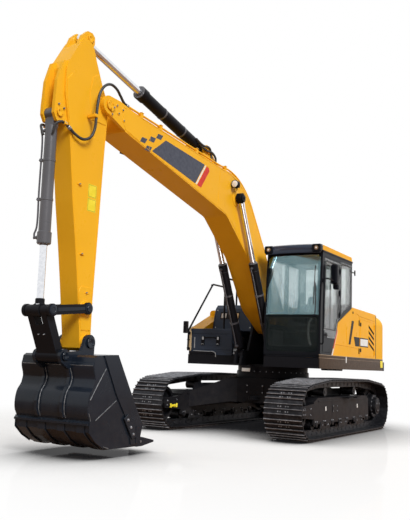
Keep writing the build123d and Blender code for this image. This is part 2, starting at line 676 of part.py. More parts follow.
# ---------------------------------------------------------------- cab
CAB_SIDE = [
    (CAB_REAR, CAB_FLOOR), (CAB_FRONT, CAB_FLOOR), (CAB_FRONT, 1950), (CAB_FRONT - 70, CAB_TOP), (CAB_REAR, CAB_TOP),
]
CAB_INSIDE = [
    (CAB_REAR + CAB_WALL, CAB_FLOOR + 40), (CAB_FRONT - CAB_WALL, CAB_FLOOR + 40), (CAB_FRONT - CAB_WALL, 1950),
    (CAB_FRONT - CAB_WALL - 70, CAB_TOP + 10), (CAB_REAR + CAB_WALL, CAB_TOP + 10),
]
DOOR = [(700, 1330), (1110, 1330), (1110, 2000), (1055, 2850), (360, 2850), (360, 1866), (424, 1838), (470, 1716)]
CAB_HINGE_X = 360 - SWING_GAP / 2
CAB_HINGES = (1960, 2330, 2700)
DOOR_WINDOW = [(560, 1700), (1050, 1700), (1045, 2000), (1000, 2790), (420, 2790), (420, 1910), (478, 1880), (530, 1750)]
RIGHT_LIGHTS = [
    [(1040, 2850), (420, 2850), (420, 1750), (1080, 1750)],
    [(360, 2850), (-190, 2850), (-190, 2100), (360, 1850)],
]
REAR_LIGHT = [(300, 2850), (-210, 2850), (-210, 2175), (300, 1958)]


def make_cab_frame():
    """Welded cab frame: floor, posts and rear wall, with the window openings cut."""
    with BuildPart() as cab:
        side_plate(CAB_SIDE, CAB_IN, CAB_OUT)
        side_plate(CAB_INSIDE, CAB_IN + CAB_WALL, CAB_OUT - CAB_WALL, mode=Mode.SUBTRACT)
        # the outer skin gives way to the yellow side panel behind the door
        side_plate([(720, CAB_FLOOR - 10), (460, 1714), (416, 1836), (-330, 2155), (-400, 2155), (-400, CAB_FLOOR - 10)],
                   CAB_OUT - CAB_WALL, CAB_OUT + 1, mode=Mode.SUBTRACT)
        side_plate([(760, CAB_FLOOR), (500, 1730), (450, 1860), (-225, 2175), (CAB_REAR, 2200), (CAB_REAR, CAB_FLOOR)],
                   CAB_OUT - CAB_WALL - 15, CAB_OUT - CAB_WALL)
        # windscreen, in two panes
        block(1000, 1300, CAB_IN + 60, CAB_OUT - 60, DIVIDER + 20, 2880, mode=Mode.SUBTRACT)
        block(1000, 1300, CAB_IN + 60, CAB_OUT - 60, 1400, DIVIDER - 20, mode=Mode.SUBTRACT)
        # door opening, rear quarter light, right windows and rear window
        offset_plate(DOOR, SWING_GAP, CAB_OUT - CAB_WALL - 16, CAB_OUT + 1, mode=Mode.SUBTRACT)
        side_plate(REAR_LIGHT, CAB_OUT - CAB_WALL - 16, CAB_OUT + 1, mode=Mode.SUBTRACT)
        for outline in RIGHT_LIGHTS:
            side_plate(outline, CAB_IN - 1, CAB_IN + CAB_WALL + 1, mode=Mode.SUBTRACT)
        block(CAB_REAR - 1, CAB_REAR + CAB_WALL + 1, CAB_IN + 100, CAB_OUT - 100, 2200, 2840, mode=Mode.SUBTRACT)
        door_hinge(False, CAB_HINGE_X, CAB_OUT, 1, CAB_HINGES)
        # rubber feet on the deck
        for x in (-150, 1050):
            for y in (CAB_IN + 120, CAB_OUT - 120):
                with Locations((x, y, (DECK_TOP + SEAT + CAB_FLOOR) / 2)):
                    Cylinder(60, CAB_FLOOR - DECK_TOP - SEAT)
    return finish(cab, "cab_frame")


def make_cab_roof():
    with BuildPart() as roof:
        side_plate([(CAB_REAR - 10, CAB_TOP + SEAT), (CAB_FRONT - 60, CAB_TOP + SEAT), (CAB_FRONT - 75, 3032),
                    (CAB_REAR + 30, 3022)], CAB_IN, CAB_OUT)
        fillet(roof.edges().filter_by(Axis.X, reverse=True).group_by(Axis.Z)[-1], 12)
    return finish(roof, "cab_roof")


def make_cab_lamps():
    with BuildPart() as lamps:
        for y in (CAB_IN + 70, CAB_OUT - 85):
            block(CAB_FRONT - 60 + SEAT, CAB_FRONT + 20, y - 65, y + 65, 2930, 3030)
    return finish(lamps, "cab_lamps")


def make_cab_door():
    with BuildPart() as door:
        side_plate(DOOR, CAB_OUT - CAB_WALL + 5, CAB_OUT)
        side_plate(DOOR_WINDOW, CAB_OUT - CAB_WALL, CAB_OUT + 1, mode=Mode.SUBTRACT)
        door_hinge(True, CAB_HINGE_X, CAB_OUT, 1, CAB_HINGES)
    finish(door, "cab_door")
    with BuildPart() as pane:
        offset_plate(DOOR_WINDOW, -SEAT, CAB_OUT - 20, CAB_OUT - 20 + GLASS)
    finish(pane, "door_glass")


def make_cab_glass():
    middle_y = (CAB_IN + CAB_OUT) / 2
    half = (CAB_OUT - CAB_IN) / 2 - 60 - SEAT
    with BuildPart() as glass:
        block(CAB_FRONT - 30, CAB_FRONT - 30 + GLASS, middle_y - half, middle_y + half, 1400 + SEAT, DIVIDER - 20 - SEAT)
        side_plate([(CAB_FRONT - 36, DIVIDER + 20 + SEAT), (CAB_FRONT - 30, DIVIDER + 20 + SEAT), (CAB_FRONT - 30, 1950),
                    (CAB_FRONT - 96, 2880 - SEAT), (CAB_FRONT - 102, 2880 - SEAT), (CAB_FRONT - 36, 1950)],
                   middle_y - half, middle_y + half)
        offset_plate(REAR_LIGHT, -SEAT, CAB_OUT - 20, CAB_OUT - 20 + GLASS)
        for outline in RIGHT_LIGHTS:
            offset_plate(outline, -SEAT, CAB_IN + 14, CAB_IN + 14 + GLASS)
        block(CAB_REAR + 14, CAB_REAR + 20, CAB_IN + 100 + SEAT, CAB_OUT - 100 - SEAT, 2200 + SEAT, 2840 - SEAT)
    return finish(glass, "cab_glass")


def make_seat():
    y = 870
    floor = CAB_FLOOR + 40
    with BuildPart() as base:
        block(20, 460, y - 200, y + 200, floor + SEAT, 1640)
        for side in (-1, 1):
            block(60, 620, y + side * 240, y + side * 340, 1660, 1840)
            block(100, 400, y + side * 190, y + side * 345, 1560, 1680)
    finish(base, "seat_base")
    with BuildPart() as cushion:
        block(30, 530, y - 230, y + 230, 1640 + SEAT + 45, 1790)
        block(-80, 60, y - 220, y + 220, 1700, 2330)
        block(-60, 40, y - 130, y + 130, 2320, 2520)
        block(40, 420, y - 180, y + 180, 1640 + SEAT, 1700)
    finish(cushion, "seat_cushion")


def make_controls():
    floor = CAB_FLOOR + 40
    with BuildPart() as controls:
        block(760, 1000, 680, 1060, floor + SEAT, floor + 60)
        for y in (820, 920):
            tube([(880, y, floor + 50), (900, y, 1600), (820, y, 1900)], 12, 50)
        block(700, 1120, CAB_IN + CAB_WALL + SEAT, CAB_IN + 120, floor + SEAT, 1600)
    return finish(controls, "cab_controls")


# ---------------------------------------------------------------- boom, arm and bucket
BOOM_OUTLINE = [
    (20, 1930), (1735, 4075), (2500, 4074), (4960, 4222), (4960, 3905), (2275, 3371), (1480, 2798), (900, 2040),
    (270, 1670),
]
BOOM_RADII = [30, 1150, 3000, 15, 15, 200, 600, 400, 30]


def boom_top(x):
    """Height of the boom's straight top."""
    return 4074 + max(0, x - 2500) * 148 / 2460


def make_boom():
    """Hollow box of welded plates with its foot, cylinder bosses and fork."""
    with BuildPart() as boom:
        side_plate(BOOM_OUTLINE, -BOOM_HALF, BOOM_HALF, radii=BOOM_RADII)
        with BuildSketch(Plane.XZ.offset(-(BOOM_HALF - BOOM_WALL))) as inside:
            with BuildLine():
                FilletPolyline(*BOOM_OUTLINE, radius=BOOM_RADII, close=True)
            make_face()
            offset(amount=-BOOM_WALL, mode=Mode.REPLACE)
        extrude(inside.sketch, amount=2 * (BOOM_HALF - BOOM_WALL), mode=Mode.SUBTRACT)
        disc(FOOT, FOOT_R, -FOOT_HALF, FOOT_HALF)
        disc(FOOT, 45, -RIB_OUT - 12, RIB_OUT + 12)
        disc(BOOM_CYL_PIN, 75, -228, 228)
        for y0, y1 in both_sides(60, 100):
            side_plate([(2370, 4055), (2600, 4270), (2680, 4365), (2790, 4370), (2835, 4290), (2880, 4080)], y0, y1, radii=25)
            disc(ARM_CYL_BASE, 38 + STEEL_FIT, y0 - 1, y1 + 1, mode=Mode.SUBTRACT)
        for y0, y1 in both_sides(LUG_IN, LUG_OUT):
            side_plate([(4640, 4190), (4890, 4225), (5080, 4256), (5290, 4256), (5380, 4212), (5404, 4142),
                        (5378, 4068), (5290, 4026), (4950, 3915), (4640, 3852)], y0, y1)
            disc(ARM_PIVOT, 114, y0, y1)
            disc(ARM_PIVOT, 50 + STEEL_FIT, y0 - 1, y1 + 1, mode=Mode.SUBTRACT)
    return finish(boom, "boom")


ARM_OUTLINE = [
    (5292, 1340), (5296, 1763), (5271, 2663), (5262, 2971), (5244, 3596), (5230, 3853), (5230, 4060), (5245, 4200),
    (5345, 4350), (5417, 4489), (5488, 4627), (5536, 4745), (5565, 4772), (5700, 4782), (5775, 4765), (5828, 4700),
    (5904, 4574), (5962, 4476), (6003, 4375), (6005, 4255), (6000, 4070), (5933, 3816), (5890, 3651), (5851, 3426),
    (5760, 2862), (5653, 2302), (5593, 1964), (5500, 1390), (5475, 1200), (5350, 1175),
]
ARM_CREST = [
    (5560, 4560), (5536, 4745), (5575, 4800), (5640, 4835), (5717, 4835), (5775, 4785), (5828, 4700), (5800, 4560),
]


def make_arm():
    """Hollow tapered box with its pivot bosses and the ears of both cylinders."""
    with BuildPart() as arm:
        side_plate(ARM_OUTLINE, -ARM_HALF, ARM_HALF)
        with BuildSketch(Plane.XZ.offset(-(ARM_HALF - ARM_WALL))) as inside:
            with BuildLine():
                Polyline(*ARM_OUTLINE, close=True)
            make_face()
            offset(amount=-ARM_WALL, kind=Kind.INTERSECTION, mode=Mode.REPLACE)
        extrude(inside.sketch, amount=2 * (ARM_HALF - ARM_WALL), mode=Mode.SUBTRACT)
        disc(ARM_PIVOT, 112, -ARM_BOSS_HALF, ARM_BOSS_HALF)
        disc(ARM_PIVOT, 50, -LUG_OUT - 12, LUG_OUT + 12)
        disc(LINK_PIVOT, 75, -GUIDE_IN + SEAT, GUIDE_IN - SEAT)
        disc(BUCKET_PIVOT, 95, -TIP_BOSS_HALF, TIP_BOSS_HALF)
        for y0, y1 in both_sides(104, ARM_HALF):
            side_plate(ARM_CREST, y0, y1)
        for y0, y1 in both_sides(66, 106):
            side_plate([(5560, 4740), (5518, 4840), (5522, 4925), (5570, 4962), (5660, 4955), (5750, 4870), (5840, 4660)],
                       y0, y1, radii=15)
        for y0, y1 in both_sides(66, 106):
            side_plate([(5930, 4480), (6040, 4430), (6120, 4180), (6135, 3890), (6135, 3790), (6085, 3712),
                        (5990, 3712), (5880, 3745)], y0, y1, radii=12)
            disc(BUCKET_CYL_BASE, 38 + STEEL_FIT, y0 - 1, y1 + 1, mode=Mode.SUBTRACT)
        disc(LINK_PIVOT, 35 + STEEL_FIT, -GUIDE_IN, GUIDE_IN, mode=Mode.SUBTRACT)
        disc(BUCKET_PIVOT, 40 + STEEL_FIT, -TIP_BOSS_HALF - 1, TIP_BOSS_HALF + 1, mode=Mode.SUBTRACT)
    return finish(arm, "arm")


def make_cylinder(label, base, pin, y, size):
    """Barrel and rod of a hydraulic cylinder, each with the eye of its pin.

    size: radii of the barrel, its head and bore, the rod radius, barrel's end and piston's place from
    the base pin, half widths of the base eye, its pin and the rod's eye.
    """
    direction = (pin[0] - base[0], 0, pin[1] - base[1])
    length = math.hypot(direction[0], direction[2])
    place = Plane(origin=(base[0], y, base[1]), x_dir=(0, 1, 0), z_dir=direction)
    across = (0, 90, 0)
    head = size["head"]
    with BuildPart(place) as barrel:
        Cylinder(size["barrel"], 2 * size["eye"], rotation=across)
        with Locations((0, 0, 110)):
            Box(2 * size["eye"], 1.2 * size["barrel"], 120)
        with Locations((0, 0, (150 + size["end"]) / 2)):
            Cylinder(size["barrel"], size["end"] - 150)
        with Locations((0, 0, size["end"] - 60)):
            Cylinder(head, 120)
        with Locations((0, 0, (180 + size["end"] - 100) / 2)):
            Cylinder(size["bore"], size["end"] - 280, mode=Mode.SUBTRACT)
        with Locations((0, 0, size["end"] - 60)):
            Cylinder(size["rod"] + STEEL_FIT, 130, mode=Mode.SUBTRACT)
        Cylinder(size["pin"], 2 * size["pin_half"], rotation=across)
    finish(barrel, label.replace("cylinder", "barrel"))
    with BuildPart(place) as rod:
        with Locations((0, 0, (size["piston"] + length) / 2)):
            Cylinder(size["rod"], length - size["piston"])
        with Locations((0, 0, size["piston"] + 40)):
            Cylinder(size["bore"] - STEEL_FIT, 80)
        with Locations((0, 0, length)):
            Cylinder(size["rod_eye_r"], 2 * size["rod_eye"], rotation=across)
            Cylinder(size["pin"], 2 * size["rod_pin_half"], rotation=across)
        with Locations((0, 0, length - size["rod_eye_r"] - 18)):
            Cylinder(size["rod"] + 4, 60)
    finish(rod, label.replace("cylinder", "rod"))


BOOM_CYLINDER = dict(barrel=72, head=75, bore=60, rod=45, end=1660, piston=1000, eye=30, pin=40, pin_half=80,
                     rod_eye_r=80, rod_eye=42, rod_pin_half=50)
ARM_CYLINDER = dict(barrel=84, head=96, bore=70, rod=48, end=1726, piston=1000, eye=55, pin=38, pin_half=112,
                    rod_eye_r=80, rod_eye=50, rod_pin_half=62)
BUCKET_CYLINDER = dict(barrel=68, head=80, bore=57, rod=40, end=1490, piston=700, eye=62, pin=38, pin_half=118,
                       rod_eye_r=72, rod_eye=50, rod_pin_half=50)


def make_guide_links():
    """Two side links that swing on the arm."""
    with BuildPart() as links:
        for y0, y1 in both_sides(GUIDE_IN, GUIDE_OUT):
            disc(LINK_PIVOT, 70, y0, y1)
            disc(OPEN_PIN, 70, y0, y1)
            side_plate([(5430, 1598), (5438, 1703), (6035, 1640), (6025, 1530)], y0, y1)
        disc(LINK_PIVOT, 35, -GUIDE_OUT - 10, GUIDE_OUT + 10)
    return finish(links, "guide_links")


def make_power_link():
    """Forked link from the cylinder's pin to the bucket."""
    along = (POWER_PIN[0] - OPEN_PIN[0], POWER_PIN[1] - OPEN_PIN[1])
    length = math.hypot(*along)
    ux, uz = along[0] / length, along[1] / length

    def at(s, t):
        return (OPEN_PIN[0] + ux * s - uz * t, OPEN_PIN[1] + uz * s + ux * t)

    with BuildPart() as link:
        for y0, y1 in both_sides(56, 160):
            disc(OPEN_PIN, 62, y0, y1)
        for y0, y1 in both_sides(56, 140):
            side_plate([at(0, -55), at(length, -52), at(length, 52), at(0, 55)], y0, y1)
        disc(POWER_PIN, 72, -164, 164)
        side_plate([at(150, 30), at(length, 30), at(length, 52), at(150, 54)], -100, 100)
        side_plate([at(230, -50), at(length, -50), at(length, 50), at(230, 50)], -100, 100)
        disc(POWER_PIN, 35, -BUCKET_EAR_OUT - 10, BUCKET_EAR_OUT + 10)
    return finish(link, "power_link")


BUCKET_BACK = [
    (5284, 1136), (5630, 1120), (5672, 1095), (5690, 1010), (5655, 864), (5675, 784), (5732, 700), (5755, 600),
    (5750, 500), (5715, 425), (5712, 298), (5604, 202), (5460, 122), (5369, 100), (5000, 95), (4860, 100),
]
BUCKET_FRONT = [(4850, 200), (4805, 330), (4860, 470), (4903, 537)]
BUCKET_INSIDE = [
    (4650, 125), (5000, 120), (5365, 124), (5450, 145), (5588, 222), (5688, 310), (5691, 430), (5727, 506),
    (5731, 598), (5709, 690), (5651, 776), (5630, 864), (5664, 1008), (5650, 1078), (5620, 1096), (5284, 1112),
    (5150, 1112), (4650, 600),
]


def make_bucket():
    """Bucket shell with side plates, edge strips, lip and the ears of its two pins."""
    with BuildPart() as bucket:
        side_plate(BUCKET_BACK + BUCKET_FRONT, -BUCKET_HALF, BUCKET_HALF)
        side_plate(BUCKET_INSIDE, -BUCKET_HALF + BUCKET_WALL, BUCKET_HALF - BUCKET_WALL, mode=Mode.SUBTRACT)
        block(4800, 5060, -BUCKET_HALF, BUCKET_HALF, 95, 135)
        # lip of the wear plate across the heel
        side_plate([(5700, 430), (5750, 394), (5748, 372), (5700, 366)], -BUCKET_HALF, BUCKET_HALF)
        # thick strips along the side plates' front edges
        for y0, y1 in both_sides(BUCKET_HALF - 2, BUCKET_HALF + 14):
            side_plate([(5284, 1136), (5534, 1122), (5279, 692), (5022, 351), (4960, 120), (4850, 120), (4790, 200),
                        (4745, 330), (4845, 480), (4890, 537)], y0, y1)
        for y0, y1 in both_sides(BUCKET_EAR_IN, BUCKET_EAR_OUT):
            side_plate([(5300, 1100), (5300, 1280), (5470, 1280), (5525, 1165), (5740, 1150), (5800, 1176),
                        (5870, 1110), (5850, 1030), (5722, 960), (5692, 870), (5712, 790), (5772, 700), (5795, 600),
                        (5790, 500), (5760, 440), (5700, 440), (5700, 700), (5640, 800), (5640, 1090)], y0, y1)
            disc(BUCKET_PIVOT, 95, y0, y1)
            disc(POWER_PIN, 76, y0, y1)
            disc(POWER_PIN, 35 + STEEL_FIT, y0 - 1, y1 + 1, mode=Mode.SUBTRACT)
        disc(BUCKET_PIVOT, 40, -BUCKET_EAR_OUT - 12, BUCKET_EAR_OUT + 12)
    return finish(bucket, "bucket")


def make_bucket_teeth():
    """Adapters and points along the bucket's lip."""
    outermost = BUCKET_HALF - BUCKET_WALL - 50
    with BuildPart() as teeth:
        for index in range(TEETH):
            y = -outermost + index * 2 * outermost / (TEETH - 1)
            side_plate([(4800 - SEAT, 84), (4800 - SEAT, 196), (4690, 190), (4446, 140), (4446, 118), (4690, 84)],
                       y - 48, y + 48)
            side_plate([(4800 - SEAT - 5, 135 + SEAT), (4960, 135 + SEAT), (4800 - SEAT - 5, 196)], y - 48, y + 48)
    return finish(teeth, "bucket_teeth")


def make_boom_lamp():
    """Round work lamp on a bracket at the boom's left side."""
    y = BOOM_HALF + SEAT
    with BuildPart() as lamp:
        block(2092, 2112, y, y + 75, 3850, 3925)
        with Locations(Location((2140, y + 72, 3890), (0, 90, 0))):
            Cylinder(62, 62)
    return finish(lamp, "boom_lamp")


def make_boom_pipes():
    """Steel pipes along the top of the boom, on clamps."""
    with BuildPart() as pipes:
        for y in (-172, 172):
            tube([(785, y, 2959), (1713, y, 4120), (2500, y, 4119), (4880, y, 4262)], 14, [1190, 3000])
            for x in (2330, 3200, 4150, 4600):
                side_plate([(x - 25, boom_top(x - 25) + SEAT), (x + 25, boom_top(x + 25) + SEAT),
                            (x + 25, boom_top(x + 25) + 62), (x - 25, boom_top(x - 25) + 62)], y - 26, y + 26)
    return finish(pipes, "boom_pipes")


def make_all():
    make_car_body()
    make_swing_bearing()
    for side, word in ((1, "left"), (-1, "right")):
        make_track(side, f"track_{word}")
        make_track_frame(side, f"track_frame_{word}")
        make_rollers(side, f"rollers_{word}")
        make_idler(side, f"idler_{word}")
        make_final_drive(side, f"final_drive_{word}")
        make_travel_motor(side, f"travel_motor_{word}")
    make_main_frame()
    make_counterweight()
    make_engine()
    make_left_panel()
    make_right_panel()
    make_side_door(LEFT_DOOR, HALF_WIDTH - PANEL, HALF_WIDTH, 1, "left_door")
    make_side_door(RIGHT_DOOR, -HALF_WIDTH, -HALF_WIDTH + PANEL, -1, "right_door")
    make_hood()
    make_tanks()
    make_tool_box()
    make_tank_cover()
    make_handrails()
    make_mirror()
    make_exhaust()
    make_swing_motor()
    make_cab_frame()
    make_cab_roof()
    make_cab_lamps()
    make_cab_door()
    make_cab_glass()
    make_seat()
    make_controls()
    make_boom()
    make_boom_lamp()
    make_boom_pipes()
    for side, word in ((1, "left"), (-1, "right")):
        make_cylinder(f"boom_cylinder_{word}", BOOM_CYL_BASE, BOOM_CYL_PIN, side * BOOM_CYL_Y, BOOM_CYLINDER)
    make_cylinder("arm_cylinder", ARM_CYL_BASE, ARM_CYL_PIN, 0, ARM_CYLINDER)
    make_arm()
    make_cylinder("bucket_cylinder", BUCKET_CYL_BASE, OPEN_PIN, 0, BUCKET_CYLINDER)
    make_guide_links()
    make_power_link()
    make_bucket()
    make_bucket_teeth()


make_all()
boxes = [piece.bounding_box() for piece in PIECES]
ORIGIN_X = (min(box.min.X for box in boxes) + max(box.max.X for box in boxes)) / 2
print("origin x", round(ORIGIN_X, 3), "low z", round(min(box.min.Z for box in boxes), 3))
print("size", [round(max(getattr(b.max, a) for b in boxes) - min(getattr(b.min, a) for b in boxes), 1) for a in "XYZ"])
os.makedirs("parts", exist_ok=True)
for piece in PIECES:
    placed = Pos(-ORIGIN_X, 0, 0) * piece
    placed.label = piece.label
    export_step(placed, f"parts/{piece.label}.step")
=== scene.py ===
"""Crawler excavator: looks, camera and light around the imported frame."""
import json
import math

import bmesh
import bpy
from mathutils import Matrix, Vector


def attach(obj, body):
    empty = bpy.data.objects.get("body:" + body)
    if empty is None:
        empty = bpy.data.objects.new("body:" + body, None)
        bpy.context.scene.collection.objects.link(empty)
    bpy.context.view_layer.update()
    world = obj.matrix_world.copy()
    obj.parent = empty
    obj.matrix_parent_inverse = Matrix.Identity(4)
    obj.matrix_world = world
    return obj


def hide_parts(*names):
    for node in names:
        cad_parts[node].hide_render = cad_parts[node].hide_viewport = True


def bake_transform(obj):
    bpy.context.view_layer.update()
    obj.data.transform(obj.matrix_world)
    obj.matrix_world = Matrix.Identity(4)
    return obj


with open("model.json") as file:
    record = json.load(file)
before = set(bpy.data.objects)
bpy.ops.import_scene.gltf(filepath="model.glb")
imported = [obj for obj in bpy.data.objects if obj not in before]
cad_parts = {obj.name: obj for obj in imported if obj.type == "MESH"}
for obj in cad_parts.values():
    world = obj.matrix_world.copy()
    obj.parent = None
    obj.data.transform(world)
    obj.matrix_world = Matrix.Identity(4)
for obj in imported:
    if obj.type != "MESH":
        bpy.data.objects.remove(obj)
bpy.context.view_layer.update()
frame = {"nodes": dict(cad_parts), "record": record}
SWING_X = -1.7          # the swing axis in the row frame


# ---------------------------------------------------------------- materials
class Shader:
    """A Principled material whose nodes are added in code. In keywords, _ stands for the space in a socket's name."""

    def __init__(self, name, **values):
        self.mat = bpy.data.materials.new(name)
        self.mat.use_nodes = True
        self.nodes = self.mat.node_tree.nodes
        self.link = self.mat.node_tree.links.new
        self.bsdf = self.nodes["Principled BSDF"]
        for key, value in values.items():
            self.bsdf.inputs[key.replace("_", " ")].default_value = value

    def add(self, kind, *feeds, **values):
        """A node with its sockets and settings set, and (value, socket) pairs linked into it."""
        node = self.nodes.new("ShaderNode" + kind)
        for key, value in values.items():
            socket = key.replace("_", " ")
            if socket in node.inputs:
                node.inputs[socket].default_value = value
            else:
                setattr(node, key, value)
        for value, socket in feeds:
            self.link(value, node.inputs[socket])
        return node

    def position(self):
        return self.add("TexCoord").outputs["Object"]

    def noise(self, scale, detail, roughness=0.5, stretch=None):
        where = self.position()
        if stretch:
            where = self.add("Mapping", (where, "Vector"), Scale=stretch).outputs["Vector"]
        return self.add("TexNoise", (where, "Vector"), Scale=scale, Detail=detail, Roughness=roughness).outputs["Fac"]

    def ramp(self, fac, *stops):
        node = self.add("ValToRGB", (fac, "Fac"))
        for element, (place, colour) in zip(node.color_ramp.elements, stops):
            element.position, element.color = place, (*colour, 1)
        return node.outputs["Color"]

    def grey(self, fac, *stops):
        return self.ramp(fac, *[(place, (value,) * 3) for place, value in stops])

    def mix(self, fac, a, b):
        node = self.add("Mix", (fac, 0), data_type="RGBA")
        for value, socket in ((a, node.inputs[6]), (b, node.inputs[7])):
            if isinstance(value, tuple):
                socket.default_value = (*value, 1)
            else:
                self.link(value, socket)
        return node.outputs[2]

    def map(self, value, low, high, to_low=0.0, to_high=1.0):
        return self.add("MapRange", (value, "Value"), From_Min=low, From_Max=high,
                        To_Min=to_low, To_Max=to_high).outputs["Result"]

    def times(self, a, b):
        return self.add("Math", (a, 0), (b, 1), operation="MULTIPLY").outputs[0]

    def colour(self, value):
        self.link(value, self.bsdf.inputs["Base Color"])

    def rough(self, value):
        self.link(value, self.bsdf.inputs["Roughness"])

    def tones(self, fac, low, high):
        self.colour(self.ramp(fac, (0.3, low), (0.7, high)))

    def sheen(self, fac, low, high):
        self.rough(self.grey(fac, (0.3, low), (0.7, high)))

    def bump(self, fac, strength, distance):
        node = self.add("Bump", (fac, "Height"), Strength=strength, Distance=distance)
        self.link(node.outputs["Normal"], self.bsdf.inputs["Normal"])


PAINTS = {  # name, two tones, roughness, coat, specular, orange peel and dust
    "body": ("body_paint", (0.89, 0.44, 0.012), (0.84, 0.405, 0.01), 0.32, 0.0, 0.06, 0.048, 0.06),
    "boom": ("boom_paint", (0.9, 0.475, 0.018), (0.85, 0.44, 0.015), 0.32, 0.02, 0.12, 0.048, 0.06),
    "weight": ("weight_paint", (0.9, 0.47, 0.016), (0.84, 0.43, 0.014), 0.42, 0.0, 0.08, 0.18, 0.06),
    "black": ("frame_black_paint", (0.012, 0.0125, 0.016), (0.008, 0.0085, 0.011), 0.34, 0.0, 0.07, 0.048, 0.05),
    "cab": ("cab_black_paint", (0.008, 0.0095, 0.014), (0.006, 0.007, 0.01), 0.18, 0.0, 0.07, 0.048, 0.03),
    "visor_blue": ("visor_paint", (0.018, 0.03, 0.062), (0.013, 0.022, 0.046), 0.16, 0.1, 0.3, 0.048, 0.0),
    "bucket": ("bucket_paint", (0.0105, 0.016, 0.027), (0.007, 0.011, 0.018), 0.22, 0.0, 0.24, 0.048, 0.03),
    "tank": ("tank_paint", (0.035, 0.04, 0.052), (0.025, 0.03, 0.038), 0.4, 0.1, 0.3, 0.048, 0.1),
    "tool_blue": ("tool_box_paint", (0.042, 0.06, 0.096), (0.03, 0.044, 0.072), 0.35, 0.0, 0.15, 0.048, 0.03),
    "barrel_paint": ("barrel_paint", (0.085, 0.087, 0.1), (0.062, 0.064, 0.074), 0.3, 0.2, 0.5, 0.048, 0.03),
}
STEELS = {  # name, dull and polished tones, roughness, share polished and metallic
    "track": ("track_steel_worn", (0.012, 0.0125, 0.016), (0.1, 0.105, 0.12), 0.42, 0.35, 0.6),
    "steel": ("bare_steel", (0.3, 0.31, 0.33), (0.55, 0.56, 0.58), 0.35, 0.35, 0.9),
    "bare": ("zinc_fittings", (0.32, 0.33, 0.34), (0.5, 0.51, 0.52), 0.35, 0.8, 0.9),
    # worn steel of bolts and grouser tips; on the tips it is also a painted highlight
    "track_bright": ("bright_worn_steel_and_highlights", (0.16, 0.165, 0.18), (0.42, 0.43, 0.46), 0.4, 0.8, 0.6),
    # bucket welds in bright steel: partly wear, partly a painted highlight along the seams
    "weld_bright": ("weld_steel_worn_and_highlit", (0.1, 0.105, 0.115), (0.34, 0.35, 0.36), 0.4, 0.8, 0.5),
}
PANES = {  # metallic, alpha and two tones
    # blue metallic tint on the upper screen: a painted sky reflection
    "sky_glass": (1.0, 0.2, (0.3, 0.52, 0.57), (0.38, 0.6, 0.65)),
    # dark sheet over the lower screen: painted shade of the cab inside
    "dark_glass": (0.0, 0.34, (0.008, 0.016, 0.016), (0.012, 0.02, 0.02)),
}
GRAINS = {  # name, noise scale and two tones of the colour, noise scale and range of the roughness, scale and depth
    "plastic": ("grained_plastic", (6, 4), (0.022, 0.023, 0.026), (0.035, 0.036, 0.04), 40, 0.5, 0.68, 700, 0.3),
    "rubber": ("rubber_hose", (12, 4), (0.012, 0.012, 0.013), (0.03, 0.03, 0.031), 25, 0.45, 0.62, 300, 0.2),
}
PLAIN = {  # two tones
    "rail_grey": ((0.42, 0.45, 0.44), (0.5, 0.53, 0.52)),
    "screen": ((0.01, 0.012, 0.014), (0.02, 0.024, 0.028)),
    "lens_amber": ((0.2, 0.12, 0.06), (0.34, 0.24, 0.15)),
    # brown stands in for a warm reflection painted on the black skirt
    "band_brown": ((0.035, 0.018, 0.007), (0.055, 0.029, 0.012)),
    # pale brown lines along the band: painted highlights
    "band_edge": ((0.3, 0.22, 0.14), (0.4, 0.3, 0.2)),
    # cream also paints the highlight on the side panel's rounded front edge
    "cream": ((0.86, 0.66, 0.36), (0.92, 0.74, 0.46)),
    "red_reflector": ((0.5, 0.02, 0.015), (0.75, 0.05, 0.03)),
    "pale_plate": ((0.72, 0.73, 0.72), (0.82, 0.83, 0.82)),
    "yellow_plate": ((0.82, 0.68, 0.03), (0.92, 0.78, 0.06)),
    "decal_grey": ((0.05, 0.058, 0.085), (0.075, 0.085, 0.115)),
    "decal_red": ((0.55, 0.03, 0.02), (0.68, 0.05, 0.035)),
    "decal_dark": ((0.02, 0.022, 0.03), (0.03, 0.033, 0.042)),
}
DUST, DUST_TOP = (0.42, 0.37, 0.31), 1.0


def paint(name, base, dark, rough, coat, specular, peel, dust):
    """Sprayed paint: faint tone drift, orange peel, and dust that thins out with height."""
    s = Shader(name, Specular_IOR_Level=specular, Coat_Weight=coat, Coat_Roughness=0.12)
    drift = s.ramp(s.noise(1.3, 4), (0.3, dark), (0.7, base))
    height = s.add("SeparateXYZ", (s.position(), 0)).outputs["Z"]
    dusty = s.times(s.map(height, 0.0, DUST_TOP, dust, 0.0), s.grey(s.noise(9, 6, 0.7), (0.35, 0.0), (0.7, 1.0)))
    s.colour(s.mix(dusty, drift, DUST))
    s.rough(s.grey(s.noise(5, 5, 0.6), (0.3, rough - 0.06), (0.75, rough + 0.1)))
    s.bump(s.noise(160, 2), peel, 0.0004)
    return s.mat


def steel(name, base, worn, rough, wear, metallic, scale=14):
    """Dark worn steel with polished and dull patches."""
    s = Shader(name, Metallic=metallic)
    s.colour(s.mix(s.grey(s.noise(scale, 8, 0.7), (0.42, 0.0), (0.72, wear)), base, worn))
    s.sheen(s.noise(scale * 2.5, 6, 0.65), rough - 0.12, rough + 0.15)
    s.bump(s.noise(scale * 9, 4), 0.25, 0.0008)
    return s.mat


